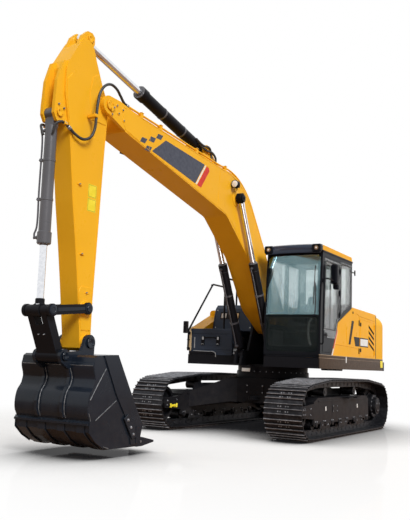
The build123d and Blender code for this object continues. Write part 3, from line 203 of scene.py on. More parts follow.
def build_materials():
    m = {key: paint(*row) for key, row in PAINTS.items()}
    m.update((key, steel(*row)) for key, row in STEELS.items())

    s = Shader("hard_chrome", Metallic=1.0)
    s.tones(s.noise(30, 3), (0.72, 0.74, 0.78), (0.86, 0.87, 0.9))
    s.sheen(s.noise(60, 4, stretch=(1, 1, 6)), 0.1, 0.14)
    m["chrome"] = s.mat

    s = Shader("cab_glass_tint", Roughness=0.02, Transmission_Weight=1.0, IOR=1.45, Alpha=0.32)
    s.tones(s.noise(2.0, 2), (0.44, 0.55, 0.53), (0.5, 0.6, 0.58))
    m["glass"] = s.mat

    for name, (metal, alpha, low, high) in PANES.items():
        s = Shader(name, Metallic=metal, Alpha=alpha, Specular_IOR_Level=0.1)
        s.tones(s.noise(1.6, 2), low, high)
        s.sheen(s.noise(3, 2), 0.03, 0.06)
        m[name] = s.mat

    s = Shader("seat_cloth", Roughness=0.9, Sheen_Weight=0.4)
    weave = s.add("TexWave", (s.position(), "Vector"), Scale=260, Distortion=1.0).outputs["Fac"]
    s.colour(s.ramp(weave, (0.2, (0.018, 0.018, 0.022)), (0.8, (0.05, 0.05, 0.058))))
    s.bump(weave, 0.5, 0.001)
    m["cloth"] = s.mat

    for key, (name, drift, low, high, scale, smooth, dull, grain, depth) in GRAINS.items():
        s = Shader(name)
        s.tones(s.noise(*drift), low, high)
        s.sheen(s.noise(scale, 3), smooth, dull)
        s.bump(s.noise(grain, 2), depth, 0.0006)
        m[key] = s.mat

    s = Shader("lamp_lens", Roughness=0.08)
    cells = s.add("TexVoronoi", (s.position(), "Vector"), Scale=90).outputs["Distance"]
    s.colour(s.ramp(cells, (0.0, (0.62, 0.66, 0.7)), (0.6, (0.85, 0.88, 0.9))))
    s.bump(cells, 0.6, 0.001)
    m["lens"] = s.mat

    s = Shader("mirror_glass", Metallic=1.0, Roughness=0.03)
    s.tones(s.noise(3, 2), (0.6, 0.62, 0.64), (0.68, 0.7, 0.72))
    m["mirror"] = s.mat

    for name, tones in PLAIN.items():
        s = Shader(name, Specular_IOR_Level=0.15)
        s.tones(s.noise(20, 3), *tones)
        s.sheen(s.noise(35, 3), 0.3, 0.42)
        m[name] = s.mat
    return m


MAT = build_materials()
SLOT_MATERIAL = {
    "body_yellow": "body", "boom_yellow": "boom", "weight_yellow": "weight", "frame_black": "black",
    "track_steel": "track", "rod_chrome": "chrome", "cab_black": "cab", "glass": "glass",
    "cushion_fabric": "cloth", "dark_plastic": "plastic", "lamp_glass": "lens", "tank_grey": "tank",
}
NODE_MATERIAL = {
    "bucket": "bucket", "bucket_teeth": "bucket", "tool_box": "tool_blue", "bucket_barrel": "barrel_paint",
}
for row in frame["record"]["subparts"]:
    look = NODE_MATERIAL.get(row["node"], SLOT_MATERIAL[row["material_slot"]])
    slots = frame["nodes"][row["node"]].data.materials
    slots.clear()
    slots.append(MAT[look])

LOOKS_OF_SLOT = {
    "frame_black": "black bucket barrel_paint band_brown band_edge weld_bright",
    "track_steel": "track track_bright bare steel",
    "boom_yellow": "boom yellow_plate decal_grey",
    "body_yellow": "body cream decal_red",
    "cab_black": "cab visor_blue",
    "dark_plastic": "plastic rubber rail_grey decal_dark",
    "lamp_glass": "lens lens_amber red_reflector pale_plate",
    "glass": "glass sky_glass dark_glass mirror screen",
    "tank_grey": "tool_blue",
}
SLOT_OF = {look: slot for slot, looks in LOOKS_OF_SLOT.items() for look in looks.split()}


# ---------------------------------------------------------------- shapes
MM = 0.001
ACROSS, UP = Vector((0, 1, 0)), Vector((0, 0, 1))
SIDES = (("left", 1), ("right", -1))


def at(x, y, z):
    """A point given in millimetres from the swing axis, in the row frame."""
    return Vector((x * MM + SWING_X, y * MM, z * MM))


def side(points, y):
    """Side-view points (x, z) on the plane y."""
    return [(x, y, z) for x, z in points]


def box(x0, x1, z0, z1):
    """The four corners of a box seen from the side or from ahead."""
    return [(x0, z0), (x1, z0), (x1, z1), (x0, z1)]


def basis(direction):
    """Two unit vectors square to a direction."""
    direction = Vector(direction).normalized()
    across = direction.cross(UP if abs(direction.z) < 0.9 else Vector((1, 0, 0))).normalized()
    return across, direction.cross(across)


def around(centre, radius, count, start=0.5, u=(1, 0, 0), v=UP):
    """Evenly spaced points on a circle, the first one a share of a step past u."""
    turns = [2 * math.pi * (k + start) / count for k in range(count)]
    return [Vector(centre) + (Vector(u) * math.cos(t) + Vector(v) * math.sin(t)) * radius for t in turns]


def smooth_line(points, dense):
    """Points on a centripetal curve through the given ones."""
    p = [Vector(q) for q in points]
    if len(p) == 2:
        return [p[0].lerp(p[1], i / 2) for i in range(3)]
    p = [2 * p[0] - p[1]] + p + [2 * p[-1] - p[-2]]
    line = []
    for a, b, c, d in zip(p, p[1:], p[2:], p[3:]):
        k0, k1, k2 = [max((v - u).length, 1e-3) ** 0.5 for u, v in ((a, b), (b, c), (c, d))]
        m1 = ((b - a) / k0 - (c - a) / (k0 + k1) + (c - b) / k1) * k1
        m2 = ((c - b) / k1 - (d - b) / (k1 + k2) + (d - c) / k2) * k1
        for t in (i / dense for i in range(dense)):
            line.append(b * (2 * t ** 3 - 3 * t ** 2 + 1) + m1 * (t ** 3 - 2 * t ** 2 + t)
                        + c * (3 * t ** 2 - 2 * t ** 3) + m2 * (t ** 3 - t ** 2))
    return line + [p[-2]]


class Form:
    """One piece of the scene, built up from shapes in millimetres from the swing axis.

    The look is a material, with the slot after a / where it isn't the material's usual one; the slot is kept but not
    used.
    The body is one body, or two bodies and the points between which a hose passes from the first to the second; for a
    hose these are not used, and the piece is only baked in place.
    """
    started = []

    def __init__(self, name, look, body="upper_structure", angle=34):
        self.name, self.body, self.angle = name, body, angle
        self.look, _, slot = look.partition("/")
        self.slot = slot or SLOT_OF[self.look]
        self.bm = bmesh.new()
        Form.started.append(self)

    def rings(self, rings, closed=True, caps=True):
        """Skin a list of rings of points; caps close the first and the last."""
        loops = [[self.bm.verts.new(at(*p)) for p in ring] for ring in rings]
        count = len(loops[0])
        for low, high in zip(loops, loops[1:]):
            for i in range(count if closed else count - 1):
                j = (i + 1) % count
                self.bm.faces.new((low[i], low[j], high[j], high[i]))
        if caps:
            self.bm.faces.new(loops[0][::-1])
            self.bm.faces.new(loops[-1])

    def sheet(self, rings):
        """A strip of surface without ends."""
        self.rings(rings, closed=False, caps=False)

    def lathe(self, base, axis, profile, steps=20):
        """Turn (radius, height) pairs round an axis from a base point."""
        base, axis = Vector(base), Vector(axis).normalized()
        u, v = basis(axis)
        self.rings([around(base + axis * h, max(r, 0.4), steps, 0, u, v) for r, h in profile])

    def disc(self, place, y, profile, steps=24):
        """Turn a profile outward round an axis across the machine, from (x, z) on the plane y."""
        self.lathe((place[0], y, place[1]), (0, math.copysign(1, y), 0), profile, steps)

    def rod(self, start, end, radius):
        start, end = Vector(start), Vector(end)
        length = (end - start).length
        edge = min(1.5, radius * 0.4, length * 0.3)
        self.lathe(start, end - start, [
            (radius - edge, 0), (radius, edge), (radius, length - edge), (radius - edge, length)], 14)

    def bolt(self, base, axis, radius, height):
        """Washer and chamfered hexagon head."""
        self.lathe(base, axis, [(radius * 1.35, 0), (radius * 1.35, 2), (radius * 1.2, 2.6)], 12)
        self.lathe(Vector(base) + Vector(axis).normalized() * 2.6, axis, [
            (radius, 0), (radius, height * 0.8), (radius * 0.8, height)], 6)

    def slab(self, outline, along, edge=0):
        """A flat outline pushed along a vector, with its far edge broken by a small chamfer."""
        along = Vector(along)
        points = [Vector(p) for p in outline]
        if not edge:
            self.rings([points, [p + along for p in points]])
            return
        middle = sum(points, Vector()) / len(points)
        lip = along - along.normalized() * edge
        shrunk = [p + (middle - p).normalized() * edge for p in points]
        self.rings([points, [p + lip for p in points], [p + along for p in shrunk]])

    def plate(self, points, y, thick, edge=0):
        """A side-view outline (x, z) on the plane y, grown outward."""
        self.slab(side(points, y), (0, math.copysign(thick, y), 0), edge)

    def block(self, one, other, edge=4):
        """A box between two corners with all its edges broken."""
        (x0, x1), (y0, y1), (z0, z1) = (sorted(pair) for pair in zip(one, other))
        e = min(edge, (x1 - x0) / 3, (y1 - y0) / 3, (z1 - z0) / 3)

        def ring(z, inset):
            a0, a1, b0, b1 = x0 + inset, x1 - inset, y0 + inset, y1 - inset
            return [(a0 + e, b0, z), (a1 - e, b0, z), (a1, b0 + e, z), (a1, b1 - e, z),
                    (a1 - e, b1, z), (a0 + e, b1, z), (a0, b1 - e, z), (a0, b0 + e, z)]
        self.rings([ring(z0, e), ring(z0 + e, 0), ring(z1 - e, 0), ring(z1, e)])

    def tube(self, points, radius, steps=10, dense=8):
        """A round tube on a smooth curve through the points; the radius may change with the share of the way."""
        line = smooth_line(points, dense)
        rings, across = [], basis(line[1] - line[0])[0]
        last = len(line) - 1
        for i, point in enumerate(line):
            run = (line[min(i + 1, last)] - line[max(i - 1, 0)]).normalized()
            across = (across - run * across.dot(run)).normalized()
            r = radius(i / last) if callable(radius) else radius
            rings.append(around(point, r, steps, 0, across, run.cross(across)))
        self.rings(rings)

    def bead(self, points, radius=5):
        """A weld: a thin tube sunk halfway into the plate, with a ripple along it."""
        length = sum((Vector(b) - Vector(a)).length for a, b in zip(points, points[1:]))
        waves = max(3, length / 22)
        self.tube(points, lambda t: radius * (1 + 0.14 * math.sin(t * waves * 2 * math.pi)), 6, 6)

    def pin_cap(self, centre, y, radius, bolts=3, head=8):
        """End plate of a pin with its bolts, on the outward side of y."""
        self.disc(centre, y, [(radius, 0), (radius, 7), (radius - 3, 10), (radius * 0.4, 10), (radius * 0.34, 8)])
        out = math.copysign(1, y)
        base = (centre[0], y + out * 10, centre[1])
        for spot in around(base, radius * 0.66, bolts, bolts / (4 * math.pi)):
            self.bolt(spot, (0, out, 0), head, head * 0.8)

    def done(self):
        bmesh.ops.recalc_face_normals(self.bm, faces=self.bm.faces)
        piece = add_mesh(self.name, self.bm, self.look)
        piece.data.set_sharp_from_angle(angle=math.radians(self.angle))
        if isinstance(self.body, tuple):
            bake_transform(piece)
        else:
            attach(piece, self.body)


def add_mesh(name, bm, look):
    """Put a smooth-shaded piece in the scene."""
    mesh = bpy.data.meshes.new(name)
    bm.to_mesh(mesh)
    bm.free()
    mesh.shade_smooth()
    mesh.materials.append(MAT[look])
    piece = bpy.data.objects.new(name, mesh)
    bpy.context.scene.collection.objects.link(piece)
    return piece


def forms(body, word="", **looks):
    """One form for each name=look, all on one body."""
    return [Form(name + word, look, body) for name, look in looks.items()]


# ---------------------------------------------------------------- places taken from the part, in mm
GAUGE_HALF, SHOE_HALF, LINKS, AHEAD = 1190, 300, 47, 85
TUMBLER_X, PIN_RADIUS, PIN_LOW, PIN_TOP, CORNER_X = 1715, 330, 90, 825, 900
TUMBLER_Z = PIN_LOW + PIN_RADIUS
BEAM_HALF = 165                     # from the middle of a track to the faces of its frame
FOOT, ARM_PIVOT, BUCKET_PIVOT = (150, 1800), (5290, 4142), (5385, 1260)
LINK_PIVOT, OPEN_PIN, POWER_PIN = (5435, 1650), (6030, 1585), (5800, 1100)
BOOM_CYL_BASE, BOOM_CYL_PIN, BOOM_CYL_Y = (700, 1250), (1975, 3695), 285
ARM_CYL_BASE, ARM_CYL_PIN, BUCKET_CYL_BASE = (2740, 4290), (5600, 4880), (6050, 3815)
BOOM_SIDE, ARM_SIDE = 205, 130      # half widths over the side plates
BUCKET_SIDE, BUCKET_CHEEK = 537, 549


def tread_pins():
    """The link pins along the track's loop."""
    run = (CORNER_X - TUMBLER_X, PIN_TOP - TUMBLER_Z)
    turn = math.atan2(run[1], run[0]) - math.acos(PIN_RADIUS / math.hypot(*run))
    leave = (TUMBLER_X + PIN_RADIUS * math.cos(turn), TUMBLER_Z + PIN_RADIUS * math.sin(turn))
    path = [((-TUMBLER_X, PIN_LOW), (TUMBLER_X, PIN_LOW)), (TUMBLER_X, -math.pi / 2, turn),
            (leave, (CORNER_X, PIN_TOP)), ((CORNER_X, PIN_TOP), (-CORNER_X, PIN_TOP)),
            ((-CORNER_X, PIN_TOP), (-leave[0], leave[1])), (-TUMBLER_X, math.pi - turn, 3 * math.pi / 2)]
    lengths = [math.dist(*s) if len(s) == 2 else PIN_RADIUS * (s[2] - s[1]) for s in path]
    pins = []
    for link in range(LINKS):
        along = (link + 0.5) * sum(lengths) / LINKS
        for stretch, length in zip(path, lengths):
            if along <= length:
                break
            along -= length
        share = along / length
        if len(stretch) == 2:
            (x0, z0), (x1, z1) = stretch
            pins.append((x0 + (x1 - x0) * share, z0 + (z1 - z0) * share))
        else:
            angle = stretch[1] + (stretch[2] - stretch[1]) * share
            pins.append((stretch[0] + PIN_RADIUS * math.cos(angle), TUMBLER_Z + PIN_RADIUS * math.sin(angle)))
    return [(x + AHEAD, z) for x, z in pins]


# ---------------------------------------------------------------- undercarriage
LINK_PLATE = [  # share of the pitch, height over the pins
    (-0.16, -30), (-0.2, 0), (-0.12, 34), (0.3, 44), (0.7, 44), (1.0, 30), (1.08, 0), (1.0, -34), (0.72, -44),
    (0.25, -44), (0.0, -40)]
GROUSER = [(-7, 81), (-3, 89.8), (3, 89.8), (7, 81)]


def dress_track(sign, word):
    """Chain plates, pin ends, shoe bolts and the grousers' edges, worn bright and partly a painted highlight."""
    links, bolts, edges = forms(
        "undercarriage", word, chain_links_="track", shoe_bolts_="track_bright", grouser_edges_="track_bright")
    half = ACROSS * (SHOE_HALF - 1)
    pins = [Vector((x, sign * GAUGE_HALF, z)) for x, z in tread_pins()]
    for pin, after in zip(pins, pins[1:] + pins[:1]):
        run = (after - pin).normalized()
        out = Vector((run.z, 0, -run.x))

        def on(share, height, across=0):
            return pin + (after - pin) * share + out * height + ACROSS * across
        for rail in (-sign, sign):
            for face, reach in ((-1, 55), (1, 100)):
                push, across = ACROSS * rail * face, rail * reach
                links.slab([on(s, h, across) for s, h in LINK_PLATE], push * 5, 1.5)
                links.lathe(on(0, 0, across) + push * 4, push, [(23, 0), (23, 4), (19, 6), (10, 6), (8, 4)], 12)
        for share in (0.3, 0.7):
            for across in (-78, -40, 40, 78):
                bolts.lathe(on(share, 61, across), out, [(11, 0), (11, 9), (9, 11)], 6)
        # bright strips on the grouser tips: real wear, and partly a painted highlight
        for share in (0.1, 0.5, 0.9):
            section = [on(share, h) + run * s for s, h in GROUSER]
            edges.rings([[p - half for p in section], [p + half for p in section]])


def dress_grease_points():
    """Yellow capped grease fittings on the inner sides of the track frames."""
    yellow = Form("grease_fittings", "yellow_plate", "undercarriage")
    for _, sy in SIDES:
        y = sy * (GAUGE_HALF - BEAM_HALF)
        yellow.block((1560, y, 352), (1740, y - sy * 14, 392), 5)
        for x in (1560, 1740):
            yellow.block((x - 22, y, 338), (x + 22, y - sy * 22, 408), 6)
        yellow.lathe((1650, y - sy * 14, 372), (0, -sy, 0), [(24, 0), (24, 16), (14, 22), (9, 34)], 18)


def dress_track_frame(sign, word):
    """Caps, guards, plates and bolts on the frame's faces, its footsteps and the hubs' covers."""
    black, bits, plates = forms(
        "undercarriage", word, frame_fittings_="black", frame_bolts_="track_bright",
        frame_plates_="pale_plate/frame_black")
    guards = [  # outline, thickness, chamfer, bolts, their radius and height
        (box(-1180, 1140, 556, 574), 10, 3, [], 0, 0),                                                # beam's rail
        (box(300, 520, 380, 500), 6, 2, box(320, 500, 400, 480), 7, 6),                               # valve cover
        ([(1430, 350), (1790, 368), (1790, 472), (1430, 490)], 12, 3,
         [(1480, 375), (1480, 465), (1760, 385), (1760, 455)], 10, 9)]                                # idler's yoke
    guards += [([(x0, 150), (x1, 150), (x1 - 40, 250), (x0 + 40, 250)], 14, 3, [(x0 + 90, 205), (x1 - 90, 205)], 10, 9)
               for x0, x1 in ((-980, -560), (-160, 260), (660, 1080))]                                # chain guides
    for face in (1, -1):
        y = sign * (GAUGE_HALF + face * BEAM_HALF)
        out = ACROSS * sign * face
        for i in range(8):
            x = -1220 + i * 2440 / 7 + AHEAD
            black.lathe((x, y, 222), out, [(46, 0), (46, 9), (38, 14), (18, 14), (14, 10)], 18)
            for dx in (-32, 32):
                bits.bolt((x + dx, y, 262), out, 9, 8)
        for outline, thick, edge, bolts, radius, height in guards:
            black.slab([(x + AHEAD, y, z) for x, z in outline], out * thick, edge)
            for x, z in bolts:
                bits.bolt((x + AHEAD, y + out.y * thick, z), out, radius, height)
    y = sign * (GAUGE_HALF + BEAM_HALF)
    out = ACROSS * sign
    for x in (-730 + AHEAD, 790 + AHEAD):
        plates.plate([(x, 420), (x + 46, 414), (x + 52, 480), (x + 18, 486)], y, 3, 1)
    for x in (-360, 40):            # footsteps welded to the beam
        black.plate(box(x - 110, x + 110, 596, 608), y, 120, 3)
        for tread in range(x - 96, x + 96, 42):
            black.block((tread, y + sign * 12, 608), (tread + 12, y + sign * 108, 616), 2)
    # rib under the upper run, on the frame's inner side
    black.plate([(-1150, 560), (1050, 560), (960, 742), (-1060, 742)], sign * (GAUGE_HALF - 150), 12, 2)
    # drive housing with its ring of bolts and plugs, and the idler's hub
    hub, cap, idler = [Vector((x + AHEAD, sign * (GAUGE_HALF + reach), TUMBLER_Z))
                       for x, reach in ((-TUMBLER_X, 150), (-TUMBLER_X, 215), (TUMBLER_X, BEAM_HALF))]
    black.lathe(cap, out, [(128, 0), (128, 5), (120, 8), (46, 8), (42, 12), (20, 12)], 28)
    black.lathe(idler, out, [(74, 0), (74, 9), (64, 13), (30, 13), (26, 9)], 24)
    for ring, radius, height in ((around(hub, 178, 14, 0), 10, 9), (around(cap + out * 8, 84, 3, 0.25), 12, 7),
                                 (around(idler + out * 12, 48, 4), 8, 7)):
        for spot in ring:
            bits.bolt(spot, out, radius, height)


def dress_centre():
    """Weld seams, covers and bolts of the centre frame, the bearing's bolts, the swivel and the travel hoses."""
    welds, bits, swivel, hoses = forms(
        "undercarriage", centre_welds="black", bearing_bolts="track_bright", travel_swivel="black",
        travel_hoses="rubber")
    for spot in around((0, 0, 970), 628, 36, v=ACROSS):
        bits.bolt(spot, UP, 7, 14)
    for sx in (-1, 1):
        for _, sy in SIDES:
            welds.bead([(sx * 640, sy * 255, 861), (sx * 790, sy * 450, 861)], 7)
            welds.bead([(sx * 690, sy * 120, 455), (sx * 690, sy * 120, 855)], 7)
            welds.bead([(sx * 701, sy * 90, 512), (sx * 760, sy * 76.5, 512)], 6)
        welds.slab([(sx * 700, y, z) for y, z in box(-170, 170, 600, 760)], (sx * 10, 0, 0), 3)
        for y, z in box(-145, 145, 625, 735):
            bits.bolt((sx * 710, y, z), (sx, 0, 0), 9, 8)
    swivel.lathe((0, 0, 500), UP, [(150, 0), (150, 60), (110, 64), (110, 430), (90, 440)], 28)
    for _, sy in SIDES:
        for k, z in enumerate((560, 620)):
            hoses.tube([(-110, sy * 30 * (k + 1), z), (-260, sy * 160, z - 10), (-360, sy * 300, z + 30),
                        (-470, sy * 520, z + 20), (-620, sy * 760, z - 40), (-900, sy * 900, z - 90),
                        (-1240, sy * (GAUGE_HALF - 280), 470 + 40 * k),
                        (-1500, sy * (GAUGE_HALF - 300), 440 + 40 * k)], 15)


for name, sign in SIDES:
    dress_track(sign, name)
    dress_track_frame(sign, name)
dress_grease_points()
dress_centre()


# ---------------------------------------------------------------- bucket and its linkage
BUCKET_BACK = [
    (5630, 1120), (5690, 1010), (5655, 864), (5675, 784), (5732, 700), (5755, 600), (5750, 500), (5715, 425)]
BUCKET_SEAMS = [  # radius and line of the welds on each side plate
    (4, [(5736, 502), (5702, 420), (5700, 304), (5596, 213), (5450, 133), (5365, 110)]),
    (6, [(5484, 977), (5614, 801), (5728, 640)]),
    (6, [(5269, 625), (5446, 523), (5622, 421)])]
RIB_SEAM = [(5700, 970), (5660, 868), (5680, 790), (5738, 702), (5760, 600), (5754, 500), (5722, 434)]
BUCKET_PLATES = [  # place, thickness, chamfer and outline of the plates on each side
    (BUCKET_CHEEK, 16, 4, [(4880, 200), (4960, 185), (5130, 420), (5060, 470), (4930, 400)]),        # cutter
    (BUCKET_CHEEK, 8, 3, [(4760, 320), (4790, 210), (4850, 130), (4880, 130), (4880, 330)]),         # its toe
    (BUCKET_SIDE, 9, 3, [(5722, 420), (5722, 292), (5608, 190), (5466, 112), (5466, 150), (5590, 228),
                         (5686, 312), (5690, 420)])]                                                # heel shroud
BELLY_INNER = [(5719, 366), (5718, 296), (5607, 196), (5462, 116), (5369, 94), (5100, 92), (4960, 92)]
BELLY_OUTER = [(5727, 366), (5726, 292), (5611, 187), (5464, 107), (5369, 88), (5100, 86), (4960, 86)]


def dress_bucket():
    # the welds' bright steel is partly wear, partly a painted highlight along the seams
    welds, plates, bits = forms(
        "bucket", bucket_welds="weld_bright", bucket_wear_plates="bucket", bucket_bolts="track_bright")
    for _, sy in SIDES:
        for y in (163, 207):        # both sides of the rib that runs down from the ear
            welds.bead(side(RIB_SEAM, sy * y), 6)
        for radius, line in BUCKET_SEAMS:
            welds.bead(side(line, sy * BUCKET_SIDE), radius)
        for y, thick, edge, outline in BUCKET_PLATES:
            plates.plate(outline, sy * y, thick, edge)
        for x, z in ((4945, 240), (5000, 320), (5060, 405)):
            bits.bolt((x, sy * (BUCKET_CHEEK + 16), z), (0, sy, 0), 14, 11)
        plates.pin_cap(BUCKET_PIVOT, sy * 217, 62, 2, 9)
    # wear straps along the belly, following the shell
    for y in (-420, -140, 140, 420):
        plates.rings([[(a, y - 55, c), (a, y + 55, c), (b, y + 50, d), (b, y - 50, d)]
                      for (a, c), (b, d) in zip(BELLY_INNER, BELLY_OUTER)])
    for y in (-175, 185):
        welds.bead(side([(5752, 600), (5747, 500), (5714, 428)], y), 4)
    welds.bead([(5694, -520, 1006), (5694, 0, 1006), (5694, 520, 1006)], 4)
    # the back plate is rolled, so a smooth skin covers the solid's flats
    skin = Form("bucket_back_skin", "bucket", "bucket", angle=60)
    skin.rings([[(p.x + dx, y, p.z) for dx, y in ((-9, -533), (0, -533), (0, 533), (-9, 533))]
                for p in smooth_line([(x + 4, 0, z) for x, z in BUCKET_BACK], 8)])
    # lip welds and the adapters' noses
    for y in (-463 + k * 231.5 for k in range(5)):
        for dy in (-50, 50):
            welds.bead(side([(4955, 139), (4880, 150), (4806, 196)], y + dy), 5)
        bits.lathe((4716, y - 52, 140), (0, -1, 0), [(15, -104), (15, 2), (11, 5)], 12)
        plates.slab([(4770, y - 30, 192), (4700, y - 30, 190), (4690, y - 26, 199), (4765, y - 26, 204)],
                    (0, 56, 0), 2)


def dress_linkage():
    """Pin caps of the power link and the guide links, the stiffening welds and their grease points."""
    power, bits, guides = Form("power_link_fittings", "bucket", "power_link"), Form(
        "power_link_bolts", "track_bright", "power_link"), Form("guide_link_fittings", "bucket", "guide_links")
    span = Vector(POWER_PIN) - Vector(OPEN_PIN)
    ux, uz = span.normalized()

    def on(along, off):
        return OPEN_PIN[0] + ux * along - uz * off, OPEN_PIN[1] + uz * along + ux * off
    for _, sy in SIDES:
        power.pin_cap(POWER_PIN, sy * 215, 50, 2, 9)
        power.disc(OPEN_PIN, sy * 160, [(56, 0), (56, 5), (48, 7)])
        power.bead(side([on(70, 50), on(300, 48), on(460, 46)], sy * 137), 5)
        bits.lathe(side([on(260, 58)], sy * 40)[0], (-uz, 0, ux), [(9, -8), (9, 8), (5, 16)], 8)
        guides.pin_cap(LINK_PIVOT, sy * 210, 44, 2, 8)
        guides.disc(LINK_PIVOT, sy * 200, [(62, 0), (62, 6), (56, 8)])
        guides.disc(OPEN_PIN, sy * 200, [(60, 0), (60, 8), (54, 11), (30, 11), (26, 8)])
        guides.plate([(5500, 1628), (5505, 1664), (5960, 1617), (5955, 1574)], sy * 200, 6, 3)
        guides.rod(*[(OPEN_PIN[0], y, OPEN_PIN[1]) for y in sorted((sy * 160.5, sy * 168))], 48)


def dress_cylinder(name, base, pin, y, head_at, head_r, barrel_r, rod_r, sideways=False, eye_look="black"):
    """Gland bolts, ports and steel pipe of a hydraulic cylinder; gives the rod eye's form and the pin's axes."""
    base, pin = Vector((base[0], y, base[1])), Vector((pin[0], y, pin[1]))
    run = (pin - base).normalized()
    square = run.cross(ACROSS)
    metal, bits = forms(name.replace("cylinder", "barrel"), **{
        name + "_fittings": "barrel_paint", name + "_bolts": "track_bright"})
    top = base + run * head_at
    metal.lathe(top - run * 132, run, [(barrel_r - 2, 0), (head_r - 1, 12)], 28)
    metal.lathe(top, run, [(head_r - 3, 0), (head_r - 3, 6), (head_r - 16, 14), (rod_r + 10, 14), (rod_r + 8, 24),
                           (rod_r + 2.5, 26)], 28)
    for spot in around(top + run * 2, head_r - 14, 10, u=ACROSS, v=square):
        bits.lathe(spot, run, [(8, 0), (8, 10), (6, 12)], 6)
    out = square * 0.45 - ACROSS * 0.89 if sideways else -square
    low, high = base + run * 205 + out * (barrel_r - 4), base + run * (head_at - 60) + out * (head_r - 5)
    for port in (low, high):
        metal.lathe(port, out, [(22, 0), (22, 14), (16, 16), (16, 34), (19, 34), (19, 46), (12, 48)], 14)
    lane = base + out * (barrel_r + 26)
    metal.tube([high + out * 36, high - run * 40 + out * 40, lane + run * (head_at - 170), lane + run * head_at * 0.6,
                lane + run * 330, lane + run * 260 + out * 6, lane + run * 215 + out * 18], 11)
    for place in (head_at * 0.36, head_at * 0.66):
        metal.lathe(base + run * place, run, [(barrel_r, 0), (barrel_r + 5, 3), (barrel_r + 5, 27), (barrel_r, 30)], 28)
        spot, wide = lane + run * (place + 15), run.cross(out) * 18
        metal.slab([spot + run * a + out * b - wide for a, b in box(-16, 16, -26, 15)], wide * 2, 3)
        bits.lathe(spot + out * 15, out, [(7, 0), (7, 7), (5, 9)], 6)
    return Form(f"{name}_rod_eye", eye_look + "/frame_black", name.replace("cylinder", "rod")), pin, run, square


def dress_cylinders():
    for word, sy in SIDES:
        eye, pin, _, _ = dress_cylinder(
            f"boom_cylinder_{word}", BOOM_CYL_BASE, BOOM_CYL_PIN, sy * BOOM_CYL_Y, 1660, 75, 72, 45)
        eye.lathe(pin - ACROSS * 44, ACROSS, [(82, 0), (85, 4), (85, 84), (82, 88)], 32)
        eye.lathe(pin + ACROSS * sy * 50, ACROSS * sy, [(64, 0), (64, 8), (58, 12), (20, 12), (16, 9)], 28)
        eye.lathe(pin + ACROSS * sy * 62, ACROSS * sy, [(11, 0), (11, 10), (6, 16)], 10)
    eye, pin, run, square = dress_cylinder(
        "arm_cylinder", ARM_CYL_BASE, ARM_CYL_PIN, 0, 1726, 96, 84, 48, sideways=True, eye_look="boom")
    eye.lathe(pin - run * 70 + square * 44, square, [(9, 0), (9, 8), (5, 14)], 8)
    eye, pin, run, _ = dress_cylinder(
        "bucket_cylinder", BUCKET_CYL_BASE, OPEN_PIN, 0, 1490, 80, 68, 40, sideways=True)
    eye.lathe(pin - ACROSS * 52, ACROSS, [(74, 0), (74, 104)], 28)
    eye.lathe(pin - run * 128, run, [(46, 0), (52, 8), (52, 52), (58, 60)], 24)


dress_bucket()
dress_linkage()
dress_cylinders()


# ---------------------------------------------------------------- arm
ARM_FRONT = [(5312, 1420), (5312, 1763), (5287, 2663), (5278, 2971), (5260, 3596), (5248, 3853), (5248, 3980)]
ARM_BACK = [(5480, 1400), (5577, 1970), (5637, 2306), (5744, 2866), (5835, 3430), (5874, 3655), (5905, 3760)]
ARM_DOUBLERS = [  # round the pivot, the tip and the ears
    [(5252, 3900), (5520, 3890), (5580, 4200), (5540, 4420), (5440, 4480), (5262, 4200)],
    [(5310, 1400), (5480, 1400), (5560, 1830), (5520, 1900), (5330, 1900)],
    [(5850, 3560), (5905, 3760), (5975, 4050), (5980, 4240), (5900, 4330), (5800, 4100), (5770, 3760)]]


def dress_arm():
    yellow, welds, bits, signs, marks = forms(
        "arm", arm_fittings="boom", arm_welds="boom", arm_bolts="track_bright", arm_plates="yellow_plate",
        arm_plate_borders="decal_dark")
    for _, sy in SIDES:
        face, out = sy * ARM_SIDE, (0, sy, 0)
        for line in (ARM_FRONT, ARM_BACK):
            welds.bead(side(line, face), 4)
        for outline in ARM_DOUBLERS:
            yellow.plate(outline, face, 7, 3)
        yellow.disc(LINK_PIVOT, face, [(96, 0), (96, 5), (88, 12)], 28)
        yellow.pin_cap(ARM_PIVOT, sy * 218, 62, 3, 9)
        yellow.plate([(5190, 4120), (5260, 4204), (5330, 4190), (5260, 4060)], sy * 219, 8, 2)
        bits.bolt((5222, sy * 227, 4128), out, 10, 9)
        yellow.pin_cap(BUCKET_CYL_BASE, sy * 118, 50, 2, 8)
        yellow.pin_cap(ARM_CYL_PIN, sy * 112, 50, 2, 8)
        for x, z in ((5660, 3068), (5545, 2271), (5420, 1832)):     # bosses with grease points
            yellow.plate([(x - 34, z - 12), (x + 34, z - 6), (x + 34, z + 12), (x - 34, z + 8)], face, 14, 3)
            bits.disc((x + 12, z + 2), face + sy * 14, [(9, 0), (9, 7), (5, 9), (5, 16), (7, 18)], 8)
        for place in ((6072, 3905), (5985, 3880)):
            bits.disc(place, sy * 106, [(13, 0), (13, 12), (7, 15), (7, 22)], 8)
        for z0, z1 in ((2960, 3118), (2792, 2948)):                 # blank plates with a dark border
            x0, x1 = 5345, 5500
            signs.plate(box(x0, x1, z0, z1), face, 1.2)
            for strip in ((x0 + 8, x1 - 8, z0 + 8, z0 + 11), (x0 + 8, x1 - 8, z1 - 11, z1 - 8),
                          (x0 + 8, x0 + 11, z0 + 8, z1 - 8), (x1 - 11, x1 - 8, z0 + 8, z1 - 8)):
                marks.plate(box(*strip), face + sy * 1.2, 0.4)
        welds.bead(side([(5300, 1766), (5270, 2663), (5243, 3596), (5229, 3853)], sy * 118), 3)


